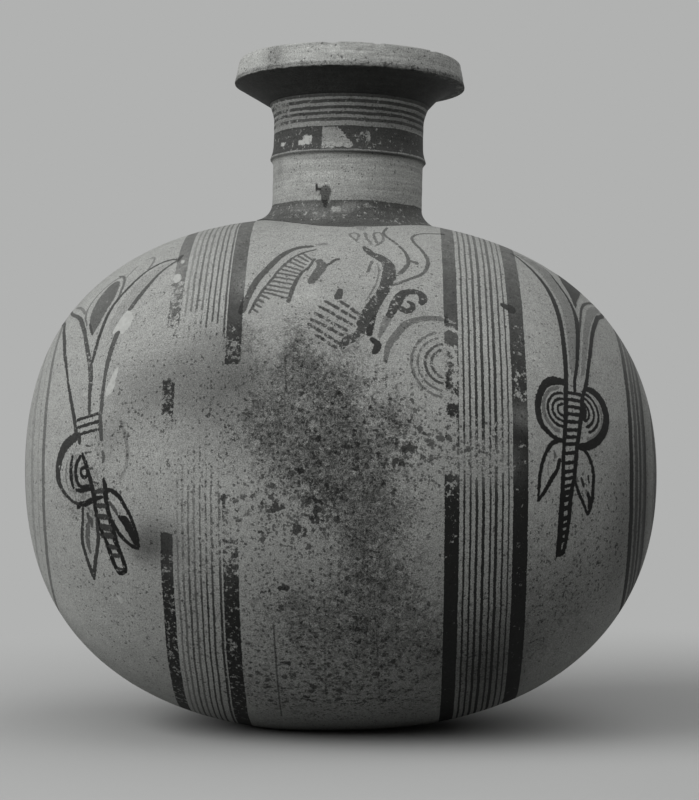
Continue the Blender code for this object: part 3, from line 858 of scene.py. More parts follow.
tree = Tree("painted_barrel_clay")
grey, height = clay_ground(tree)
cover = tree.math("MULTIPLY", band_cover(tree), paint_left(tree, tree.mark("worn")))
barrel.data.materials.append(finish_material(tree, grey, height, cover))
print("nodes in the barrel's clay:", len(tree.nodes))

# %% [markdown]
# The figures between the bands were drawn freehand with a loaded brush. Each stroke is a
# thin strip of mesh that hugs the barrel: it follows a smooth curve through a few places,
# and stands about a tenth of a millimetre proud along its middle, like slip that dried in a
# ridge. Its points keep the distance to the stroke's edge, as ink, and the material uses
# that to give each line the ragged edge of a real brush mark.

# %% Strokes that hug the barrel
STROKE_STEP = 0.7
STROKE_MARGIN = 0.7
STROKE_LIFT = 0.075
STROKE_RISE = 0.05
STROKE_LOWEST, STROKE_HIGHEST = -0.04, 0.12
SUNK = -0.35
STROKE_SPAN = np.array([-1.0, -0.8, -0.5, 0.0, 0.5, 0.8, 1.0])
WASH_ROWS, WASH_COLUMNS = 40, 9
WASH_FULL, WASH_EDGE = 1.1, 0.4


def smooth_path(points, widths):
    """A Catmull-Rom curve through places, stepped evenly, with the width along it."""
    points = np.array(points, float)
    scale = np.array([1.0, math.pi / 180 * BARREL_RADIUS * 0.85])
    widths = np.broadcast_to(np.asarray(widths, float), len(points))
    padded = np.vstack([2 * points[0] - points[1], points, 2 * points[-1] - points[-2]])
    path, width = [], []
    for step in range(len(points) - 1):
        before, start, end, after = padded[step:step + 4]
        length = np.hypot(*((end - start) * scale))
        count = max(int(length / STROKE_STEP), 1)
        for share in np.arange(count) / count:
            cube = ((2 * start) + (end - before) * share
                    + (2 * before - 5 * start + 4 * end - after) * share ** 2
                    + (3 * start - before - 3 * end + after) * share ** 3) / 2
            path.append(cube)
            width.append(widths[step] + (widths[step + 1] - widths[step]) * share)
    path.append(points[-1])
    width.append(widths[-1])
    return np.array(path), np.array(width)


def side_steps(path):
    """For each place of a path, the change of place that moves one mm to its left."""
    heading = np.gradient(path, axis=0)
    along = path[:, 0]
    slope = (barrel_radius(along + 0.5) - barrel_radius(along - 0.5))
    long_scale = 1 + slope ** 2
    round_scale = (barrel_radius(along) * math.pi / 180) ** 2
    side = np.stack([-heading[:, 1] * round_scale, heading[:, 0] * long_scale], -1)
    length = np.sqrt(side[:, 0] ** 2 * long_scale + side[:, 1] ** 2 * round_scale)
    return side / length[:, None]


class Drawing:
    """Gathers strips of one drawing into one mesh, with their marks."""

    def __init__(self, name, behind=False):
        self.name, self.behind, self.points, self.faces = name, behind, [], []
        self.places, self.ink, self.load = [], [], []

    def sheet(self, places, ink, load):
        """Adds a closed skin: a grid of places on top, and the same grid sunk below it."""
        rows, columns = ink.shape
        if self.behind:
            places = np.array([0.0, 360.0]) + places * np.array([1.0, -1.0])
        along, degrees = places[..., 0].ravel(), places[..., 1].ravel()
        lift = STROKE_RISE + STROKE_LIFT * ink.ravel()
        top = on_barrel(along, degrees, np.clip(lift, STROKE_LOWEST, STROKE_HIGHEST))
        base = on_barrel(along, degrees, SUNK)
        first, below = len(self.places), rows * columns
        self.points += top.tolist() + base.tolist()
        self.places += places.reshape(-1, 2).tolist() * 2
        self.ink += ink.ravel().tolist() * 2
        self.load += [load] * (2 * below)

        def corner(row, column):
            return first + row * columns + column

        for row in range(rows - 1):
            for column in range(columns - 1):
                quad = (corner(row, column), corner(row, column + 1),
                        corner(row + 1, column + 1), corner(row + 1, column))
                self.faces.append(quad)
                self.faces.append(tuple(point + below for point in reversed(quad)))
        border = ([corner(0, c) for c in range(columns)]
                  + [corner(r, columns - 1) for r in range(1, rows)]
                  + [corner(rows - 1, c) for c in range(columns - 2, -1, -1)]
                  + [corner(r, 0) for r in range(rows - 2, 0, -1)])
        for near, far in zip(border, border[1:] + border[:1]):
            self.faces.append((far, near, near + below, far + below))

    def stroke(self, points, widths, load=1.0):
        """A brush line through places, with one width or a width at each place."""
        path, width = smooth_path(points, widths)
        ends = width[[0, -1]] / 2 + STROKE_MARGIN
        heading = np.diff(path, axis=0)[[0, -1]]
        scale = np.stack([np.ones(2), barrel_radius(path[[0, -1], 0]) * math.pi / 180], -1)
        heading /= np.hypot(*(heading * scale).T)[:, None]
        path = np.vstack([path[0] - heading[0] * ends[0], path[0] - heading[0] * ends[0] / 2, path,
                          path[-1] + heading[1] * ends[1] / 2, path[-1] + heading[1] * ends[1]])
        beyond = np.concatenate([[ends[0], ends[0] / 2], np.zeros(len(width)),
                                 [ends[1] / 2, ends[1]]])
        half = np.concatenate([[width[0]] * 2, width, [width[-1]] * 2]) / 2
        reach = half + STROKE_MARGIN
        offset = STROKE_SPAN[None, :] * reach[:, None]
        places = path[:, None, :] + side_steps(path)[:, None, :] * offset[..., None]
        ink = half[:, None] - np.hypot(offset, beyond[:, None])
        self.sheet(places, ink, load)

    def wash(self, left, right, load=0.5):
        """Slip brushed over the space between two lines."""
        sides = []
        for line in (left, right):
            path, _ = smooth_path(line, 1.0)
            walked = np.concatenate([[0], np.cumsum(np.hypot(*np.diff(path, axis=0).T))])
            even = np.linspace(0, walked[-1], WASH_ROWS)
            sides.append(np.stack([np.interp(even, walked, path[:, axis]) for axis in (0, 1)], -1))
        share = np.linspace(0, 1, WASH_COLUMNS)[None, :, None]
        places = sides[0][:, None, :] * (1 - share) + sides[1][:, None, :] * share
        degree_length = barrel_radius(np.array(100.0)) * math.pi / 180
        gap = np.abs(sides[1] - sides[0]) * np.array([1.0, degree_length])
        across = np.hypot(*gap.T)[:, None] * np.minimum(share, 1 - share)[..., 0]
        row = np.arange(WASH_ROWS)
        steps = np.minimum(row, WASH_ROWS - 1 - row)[:, None] * STROKE_STEP
        ink = np.minimum(np.minimum(across, steps), WASH_FULL) - WASH_EDGE
        self.sheet(places, ink, load)

    def ring(self, centre, radii, width, load=1.0, start=0, end=360):
        """A ring or an arc round a place: radii are mm along and degrees round."""
        turns = np.radians(np.arange(start, end + 0.1, 15))
        points = [(centre[0] + radii[0] * math.cos(turn), centre[1] + radii[1] * math.sin(turn))
                  for turn in turns]
        self.stroke(points, width, load)

    def finish(self):
        """Turns all that was gathered into one object, with the wear of its places."""
        data = bpy.data.meshes.new(self.name)
        data.from_pydata(self.points, [], self.faces)
        mesh = bmesh.new()
        mesh.from_mesh(data)
        bmesh.ops.recalc_face_normals(mesh, faces=mesh.faces[:])
        mesh.to_mesh(data)
        mesh.free()
        data.shade_smooth()
        data.set_sharp_from_angle(angle=math.radians(50))
        piece = bpy.data.objects.new(self.name, data)
        bpy.context.scene.collection.objects.link(piece)
        places = np.array(self.places)
        mark_wear(piece, places[:, 0], places[:, 1], dust_and_sheen_amount=0.3)
        write_mark(piece, "ink", self.ink)
        write_mark(piece, "load", self.load)
        print(self.name, "faces:", len(data.polygons))
        return piece

# %% [markdown]
# On the right of the front stands a lotus: three petals opening upwards, a pair of ringed
# discs where a bud would swell, a laddered stem and two pointed leaves. All of it is drawn
# with the strokes above, as places in millimetres along and degrees round.

# %% The lotus on the right
def paint_right_lotus(name, behind=False):
    """The lotus that hangs on the right shoulder, and its like behind."""
    lines = Drawing(name, behind)
    lines.stroke(
        [(84.5, 18.2), (86, 19), (90, 22.3), (93.5, 25.5), (97, 29.2), (100, 33), (102.2, 37),
         (103.8, 41.5), (104.9, 46), (105.4, 50), (105.8, 55), (106, 60), (106, 64), (105.6, 68),
         (105.4, 72), (105, 76), (104.5, 80), (104, 84), (103.7, 88), (103.6, 92), (103.3, 96),
         (102.9, 100), (102.6, 104), (102.1, 108), (101.6, 110)],
        [1.2, 1.6, 2, 2.2, 2.5, 2.9, 3, 3, 2.9, 2.8, 2.8, 2.7, 2.7, 2.8, 2.8, 2.6, 2.4, 2.2, 2.2,
         2.6, 3, 3.2, 3.2, 3, 2.4])
    lines.stroke(
        [(136, 2.4), (133, 5), (131.4, 9.5), (130, 16), (129.3, 20), (128, 23.5), (126.3, 27),
         (125, 30.3), (123.9, 34), (122.5, 38), (121.3, 42), (120.3, 46), (119.4, 50), (118.4, 54),
         (117.4, 58), (116.4, 62), (115.2, 65), (113.8, 68), (113.3, 71), (112.8, 74), (111.7, 78),
         (110.6, 82), (109.8, 86), (109.2, 90), (108, 93), (107.2, 97), (106.7, 101), (105.8, 105),
         (104.8, 108.4), (103.2, 110)],
        [0.9, 1.6, 2.2, 2.6, 2.7, 2.7, 2.7, 2.7, 2.6, 2.6, 2.5, 2.4, 2.3, 2.3, 2.3, 2.3, 2.3, 2.5,
         2.8, 2.7, 2.6, 2.5, 2.4, 2.4, 2.5, 2.6, 2.4, 2.3, 2.3, 2.2])
    lines.stroke(
        [(85.6, 17.2), (92, 15), (98.6, 15.6), (103, 19), (104.6, 22.5), (106.9, 26.3), (109, 29.4),
         (110.8, 32.4), (112.1, 35.4), (113, 38.4), (113.5, 42), (113.4, 46), (113, 50),
         (112.4, 54), (111.8, 58), (111, 61), (110.2, 64), (110, 67)],
        [0.8, 1.1, 1.1, 1.1, 1.7, 1.9, 1.9, 1.9, 2.1, 2.6, 3.2, 3.1, 2.7, 2.4, 2.2, 2.1, 2, 1.8])
    lines.stroke(
        [(135.4, 2.6), (130, 5), (127, 9), (125, 14), (122.6, 20), (120.3, 24.5), (118.3, 28.5),
         (116.8, 33), (115.9, 37), (115.2, 41), (114.4, 45)],
        [0.8, 1.1, 1.3, 1.4, 1.5, 1.6, 1.7, 1.6, 1.5, 1.4, 1.1], 0.9)
    lines.stroke([(109.7, 38), (110.2, 44), (110.2, 50), (109.6, 56), (108.9, 62)], 0.9, 0.45)
    lines.stroke([(117, 42), (116, 48), (114.8, 55), (113.6, 62)], 0.8, 0.4)
    lines.wash(
        [(113.5, 1.6), (109.6, 4), (107, 8), (107.4, 12.4), (107.8, 15.7), (108.4, 21.2), (110, 25),
         (111.4, 28.6), (112.3, 32.2), (113, 34.8)],
        [(113.9, 1.6), (118, 4), (120.6, 8), (120.4, 12.4), (119.4, 15.7), (118.6, 18.8),
         (117, 24.8), (115.4, 29.4), (114.9, 32.4), (114, 35)], 0.95)
    lines.wash(
        [(86.4, 17.4), (90, 19.6), (94, 22), (99.4, 28), (103.2, 34), (106, 40), (107, 47),
         (107.4, 54), (107.6, 62)],
        [(87.4, 17), (96, 16.2), (102, 18), (104, 22), (107.6, 28.5), (110.6, 33.4), (112, 38),
         (112.6, 46), (112, 54), (110.6, 62)], 0.36)
    lines.wash(
        [(131, 5.4), (127.6, 10), (124.6, 19), (121.8, 25), (119.4, 31), (117.6, 37), (116, 44),
         (115, 52), (113, 62)],
        [(132, 5.6), (130, 12), (128.2, 19), (126.2, 25), (124, 31), (121.8, 37), (119.6, 44),
         (117.8, 52), (115.4, 62)], 0.4)
    lines.stroke(
        [(104.5, 65.2), (99.9, 65.6), (95.9, 67), (93.1, 69.9), (92, 73), (92.7, 76.3),
         (95.2, 78.4), (98.4, 79.9), (101.8, 80.8), (104, 81)],
        [3.6, 4.6, 4, 3.6, 3.4, 3, 2.6, 2.4, 2.4, 2.4])
    lines.stroke(
        [(116, 65), (118.5, 64.9), (121.4, 65.7), (124, 67.6), (125.4, 70.4), (125.4, 73.4),
         (124, 76.4), (121.4, 79), (118.4, 80.7), (115, 81.8), (112, 82)],
        [3, 3.8, 4.4, 4.6, 4.8, 4.8, 4.8, 4.8, 4.8, 4.2, 3.4])
    for reach, wide, width in ((2.6, 1.5, 1.4), (5, 2.9, 1.5), (7.3, 4.4, 1.5)):
        lines.ring((104, 72.9), (reach, wide), width, 1.0, 90, 270)
    lines.ring((104.2, 72.9), (9.6, 5.9), 1.9, 0.55, 105, 262)
    lines.stroke([(113.6, 70.4), (114.4, 72), (114, 73.8)], 3.4)
    for reach, wide, width in ((3.6, 2.7, 1.5), (6, 4.3, 1.6), (8.4, 5.9, 1.6)):
        lines.ring((113.2, 72.3), (reach, wide), width, 1.0, -85, 78)
    lines.ring((113.4, 72.6), (9.9, 7.3), 1.5, 0.45, -30, 84)
    lines.stroke(
        [(102, 80.8), (98.1, 82.1), (95.4, 84.5), (93.4, 87.5), (92.4, 91.1), (91.9, 95.6)],
        [2.2, 2.4, 2, 1.9, 1.9, 1.2])
    lines.stroke(
        [(102, 85.9), (100.7, 88.4), (98.4, 90.3), (95.9, 92.7), (93.4, 94.6), (91.9, 95.6)],
        [2.2, 2, 2.4, 2.2, 1.9, 1.2])
    lines.stroke([(99.4, 83.6), (99.9, 84.8), (99.2, 86)], [0.8, 1.3, 0.8], 0.7)
    lines.stroke([(97, 86), (96.4, 88), (96.8, 89.6)], 0.8, 0.4)
    lines.stroke(
        [(110.7, 82.1), (113.8, 82.6), (116.3, 84.5), (117.9, 87), (118.6, 90), (118.4, 93),
         (118.1, 96), (117.1, 98.7), (115.9, 100.5)], [2, 2, 2, 2, 2.1, 2.2, 2.4, 2.6, 1.6])
    lines.stroke(
        [(109.6, 91.4), (111.4, 94.4), (113.4, 96.9), (114.9, 99.1), (115.9, 100.5)],
        [1.6, 1.9, 1.7, 1.7, 1.5])
    lines.stroke([(112.4, 90.3), (113.3, 91.6), (113.8, 92.7)], [1.2, 1.8, 1], 0.9)
    lines.stroke([(115.8, 89.8), (116.4, 91.7)], 1.2, 0.95)
    lines.stroke([(115.9, 94.7), (116.6, 96.6), (116.3, 98.8)], [2.2, 2.2, 1.4])
    stem_rungs = [
        (67.6, 105.6, 113.6), (69.5, 105.5, 113.5), (71.5, 105.4, 113.2), (73.5, 105.2, 112.9),
        (75.6, 105, 112.5), (77.8, 104.8, 111.8), (79.7, 104.5, 111.3), (81.6, 104.2, 110.6),
        (83.9, 104, 110.1), (86.4, 103.8, 109.7), (88.6, 103.7, 109.4), (90.4, 103.6, 109),
        (92.3, 103.5, 108.2), (94, 103.4, 107.9), (95.8, 103.2, 107.4), (98, 103, 107),
        (100.6, 102.9, 106.7), (102.4, 102.7, 106.4), (104.3, 102.5, 106), (106.3, 102.3, 105.5),
    ]
    for degrees, start, end in stem_rungs:
        lines.stroke([(start, degrees + 0.25), (end, degrees - 0.25)], 1.9 if degrees < 93 else 2.5)
    lines.stroke([(101.8, 109.9), (104.2, 109.7)], 2.4)
    return lines.finish()

# %% [markdown]
# The lotus on the left leans over with the curve of the barrel. It has lost more: two white
# flakes took part of a petal, the right-hand disc is rubbed away, and the foot is blotched.

# %% The lotus on the left
def paint_left_lotus(name, behind=False):
    """The lotus on the left, which leans with the curve, and its like behind."""
    lines = Drawing(name, behind)
    lines.stroke(
        [(-144.5, 4), (-141.8, 12), (-138.8, 22), (-136.5, 28), (-135.2, 35.2), (-133.4, 42),
         (-131.5, 50), (-129.8, 55.2), (-128.6, 59), (-127.4, 63), (-126, 66.5), (-124.7, 70),
         (-123.4, 73), (-122.2, 76), (-121.2, 79), (-119.3, 82)],
        [0.8, 1.6, 2, 2.4, 2.6, 2.6, 2.6, 2.4, 1.5, 1.7, 2, 2.3, 2.4, 2.4, 2.4, 2], 0.9)
    lines.stroke(
        [(-144, 4.4), (-139.6, 9), (-136, 16), (-133, 25.5), (-130.2, 31.2), (-127.5, 35.2),
         (-124.9, 39.4), (-123.2, 43), (-121.5, 46.8), (-119.9, 50.8), (-118.2, 55.3), (-116.6, 59),
         (-115.6, 62), (-115, 65), (-114.9, 68), (-114.8, 71.5), (-114.5, 75.4)],
        [0.8, 1.2, 1.6, 1.8, 2, 2.2, 2.6, 2.8, 2.6, 2.6, 2.6, 2.9, 3.2, 3, 2.6, 2.1, 1.8], 0.84)
    lines.stroke([(-131, 24), (-126, 32), (-123.3, 37)], [1.2, 1.8, 1.4], 0.55)
    lines.stroke(
        [(-108.4, 26.4), (-105.4, 29), (-104.2, 32), (-104.4, 35.4), (-105.5, 39.4)],
        [0.9, 1.6, 1.8, 1.7, 1.2], 0.7)
    lines.stroke(
        [(-106.6, 28.6), (-109.4, 27.6), (-114, 28.6), (-118.9, 31.2), (-122.1, 35.5),
         (-122.4, 39.8), (-120.8, 44.4)], [0.9, 1.1, 1.2, 1.3, 1.4, 1.5, 1.2], 0.6)
    lines.wash(
        [(-112.6, 29.4), (-116, 32.2), (-118.5, 35.2), (-119.7, 39), (-120.1, 42), (-119.6, 45.4),
         (-118.2, 48), (-116.8, 50.2)],
        [(-110.4, 28.8), (-107.2, 30), (-105.9, 32.8), (-106.1, 36), (-107.5, 39.4), (-110.2, 42.6),
         (-112.8, 46.4), (-116, 50.4)], 0.72)
    lines.stroke([(-119, 44.5), (-117.6, 47.4), (-116.6, 50)], [1.6, 2.6, 1.4], 0.9)
    lines.stroke(
        [(-78.2, 31.8), (-80.2, 31), (-83.8, 30.7), (-87.5, 31), (-91.1, 31.8), (-94.7, 33.2),
         (-98.4, 35.4), (-102, 37.8), (-105.2, 40), (-107.9, 42.6), (-110.2, 45.8), (-111.6, 49.2),
         (-112.9, 52.6), (-113.9, 56), (-115, 60)],
        [1.2, 1.6, 1.6, 1.6, 1.7, 1.9, 2.1, 2.2, 2.3, 2.3, 2.3, 2.3, 2.2, 2.2, 1.8], 0.9)
    lines.stroke(
        [(-76.2, 30.4), (-78.6, 32.6), (-80.4, 33.2), (-83.8, 34.8), (-86.6, 36.5), (-89.7, 39),
         (-92.5, 41.4), (-95.2, 43.8), (-98.3, 46.6)], [1, 1.6, 1.7, 1.8, 2, 2.4, 2.8, 3, 2.8], 0.8)
    lines.stroke(
        [(-102.9, 53), (-104.3, 55.5), (-105.6, 58.4), (-106.7, 61.5), (-107.4, 64.5),
         (-107.9, 67.5), (-108.3, 70.5), (-108.3, 73.2), (-108.8, 76.2), (-108.2, 79.2),
         (-107.8, 82)], [3, 3.2, 2.9, 2.8, 2.4, 2, 2, 2.5, 2.3, 2.6, 2], 0.78)
    lines.stroke(
        [(-105, 32), (-103.4, 30.4), (-101.5, 28.4), (-99.3, 26.4)], [1.2, 1.1, 1, 0.8], 0.4)
    lines.stroke(
        [(-92.7, 31.9), (-91.4, 30), (-90.5, 27.4), (-90.8, 25.4), (-92.5, 24.4), (-95, 24)],
        [1.5, 1.5, 1.4, 1.2, 1.1, 1], 0.5)
    lines.wash(
        [(-80.5, 32), (-86, 32.2), (-91.5, 33.4), (-96.5, 36), (-101, 39.6), (-104.8, 43.6),
         (-107.5, 48), (-109, 53)],
        [(-80.8, 32.6), (-85.2, 34.8), (-89, 38), (-93, 41), (-96.6, 44), (-100, 47.4),
         (-103.4, 50.8), (-105.6, 55)], 0.16)
    for start, end, width in (((-120.6, 76), (-109.6, 75.2), 1.6),
                              ((-120.2, 78.1), (-109.4, 77.3), 1.8),
                              ((-118.8, 80), (-109.2, 79.3), 1.5)):
        lines.stroke([start, end], width, 0.95)
    for start, end, width in (((-115.4, 83.3), (-113.5, 83.5), 1.1), ((-115.9, 85.1), (-113, 85), 0.9),
                              ((-115.4, 89.2), (-112.1, 89.3), 1.3), ((-111.3, 92.7), (-108.8, 92.9), 1)):
        lines.stroke([start, end], width, 0.8)
    lines.stroke(
        [(-119, 82.4), (-120, 80.6), (-122.4, 80.9), (-125.3, 82), (-127.5, 83.5), (-129.2, 85.7),
         (-130.3, 88.2), (-130.7, 91), (-130, 93.6), (-128.1, 95.8), (-125.3, 97.5), (-121.7, 98.7),
         (-119.4, 99)], [2, 4, 4.8, 5.2, 5.4, 5, 4.6, 4.2, 3.4, 2.4, 1.8, 1.6, 1.8], 0.92)
    lines.stroke([(-125.4, 87), (-126.2, 90), (-125.9, 93), (-124.6, 95.5)], [0.7, 1, 1, 0.7], 0.5)
    lines.stroke([(-122.8, 86), (-123.5, 89), (-123.2, 92.2), (-122, 94.8)], [1.5, 2.4, 2.4, 1.6])
    lines.stroke(
        [(-118.4, 85.9), (-120.3, 88), (-120.9, 90.6), (-120, 93), (-117.6, 94.2), (-114, 93.6)],
        [1.7, 2.4, 2.4, 2.1, 1.9, 1.6])
    lines.ring((-116.4, 90.3), (1.7, 1.3), 1.9)
    lines.stroke([(-120.4, 95.2), (-117.2, 95.1), (-113.6, 94.4)], [1.8, 2.3, 2.2])
    lines.stroke(
        [(-119.6, 99.8), (-118.4, 98.9), (-115.3, 98.4), (-111.7, 97.2), (-107.4, 96.2)],
        [2.4, 2.6, 2.9, 2.8, 1.8])
    lines.stroke(
        [(-117.4, 85.6), (-115.7, 87.8), (-114.6, 89.8), (-113.2, 92), (-112.1, 94.2),
         (-111.3, 96.4), (-110.6, 99), (-109.9, 101.4), (-108.8, 103.6), (-107.2, 105.4),
         (-105.3, 107.6), (-104.1, 109.6), (-102.8, 111.6), (-101.4, 113.4), (-99.7, 114.8)],
        [2, 2.6, 2.6, 2.6, 2.6, 2.9, 2.6, 2.4, 2.6, 2.3, 2.3, 2.6, 2.6, 2.6, 2.2])
    lines.stroke(
        [(-106.4, 91.8), (-105.6, 93.6), (-105.2, 96), (-104.5, 98.6), (-103.4, 101.2),
         (-101.9, 103.9), (-101, 106.4), (-99.4, 108.6), (-97.9, 110.3), (-96.8, 112.4),
         (-96.7, 113.7), (-98.8, 114.7)], [1.6, 3, 3, 2.6, 2.8, 3, 3.2, 2.8, 2.4, 2.4, 2.2, 2.2])
    for start, end, width in (((-111.4, 95.2), (-105.4, 94.3), 2.2), ((-110.6, 98.6), (-104.8, 98.2), 2.4),
                              ((-109.9, 101.2), (-103.6, 101), 2.7), ((-108.6, 103.7), (-102.4, 103.6), 3.4),
                              ((-107, 105.8), (-101.4, 105.4), 3.2), ((-105, 108.4), (-100, 108.2), 2.6),
                              ((-103.6, 110.6), (-98.4, 110), 2.2), ((-101.8, 113.6), (-97.4, 113.4), 1.4)):
        lines.stroke([start, end], width, 0.9)
    lines.stroke(
        [(-105.2, 94.2), (-102.2, 94.5), (-99.5, 95.3), (-97.1, 96.8), (-94.9, 98.6),
         (-92.9, 100.5), (-91.4, 102.6), (-90.3, 104.8), (-89.7, 107)],
        [2, 2.4, 2.4, 2.2, 1.9, 1.9, 2, 2.4, 1.8])
    lines.stroke(
        [(-98.4, 100.6), (-96, 101.2), (-94, 102.8), (-92.4, 104.6), (-91, 106.4)],
        [2.6, 4.6, 4.4, 3.6, 2])
    lines.stroke(
        [(-103.4, 100.4), (-101.6, 102.4), (-99, 104.5), (-96, 106), (-92.6, 107), (-90, 107.2)],
        [2, 1.9, 2.2, 2, 1.8, 1.8])
    lines.stroke([(-103.6, 97.2), (-101.4, 98.6), (-99.6, 100)], [1.4, 2.2, 1.6], 0.8)
    lines.stroke(
        [(-117.2, 99.4), (-117.3, 101.6), (-117.4, 104), (-118, 107), (-117.8, 110),
         (-116.5, 112.8), (-115.2, 115.5), (-114.1, 117.2), (-113.1, 119)],
        [1.8, 1.8, 1.9, 2.4, 2.3, 2.1, 2.4, 2.6, 1.8], 0.9)
    lines.stroke(
        [(-110, 100.4), (-109.8, 103.9), (-109.5, 106.8), (-110.2, 109.6), (-111.1, 112),
         (-111.9, 114.6), (-112.6, 116.8), (-113.1, 119)], [2.1, 2.4, 2.3, 2.2, 2.3, 2.4, 2.6, 1.8],
        0.9)
    lines.stroke([(-114.8, 101.4), (-113.2, 102.8), (-112.6, 104)], [2.2, 3.4, 1.8], 0.75)
    lines.stroke(
        [(-114.6, 104), (-115, 107), (-115.1, 109.2), (-114, 111.6)], [2.6, 3, 2.6, 1.6], 0.7)
    lines.stroke(
        [(-98.5, 78), (-96, 81.5), (-94.8, 85), (-95.4, 88.6), (-98, 91.4)], [1.6, 2, 2, 1.8, 1.2],
        0.35)
    lines.stroke([(-107.2, 85), (-106.4, 86.4), (-106.8, 87.6)], [1.4, 2.2, 1.2], 0.7)
    return lines.finish()

# %% [markdown]
# The middle panel carries a bird, much worn, with a barred wing, a curved breast line,
# slanting feather strokes and two tendrils above, and beside it a hooked spiral and a disc
# of rings that runs under the band. Its lines are thin and its blacks uneven.

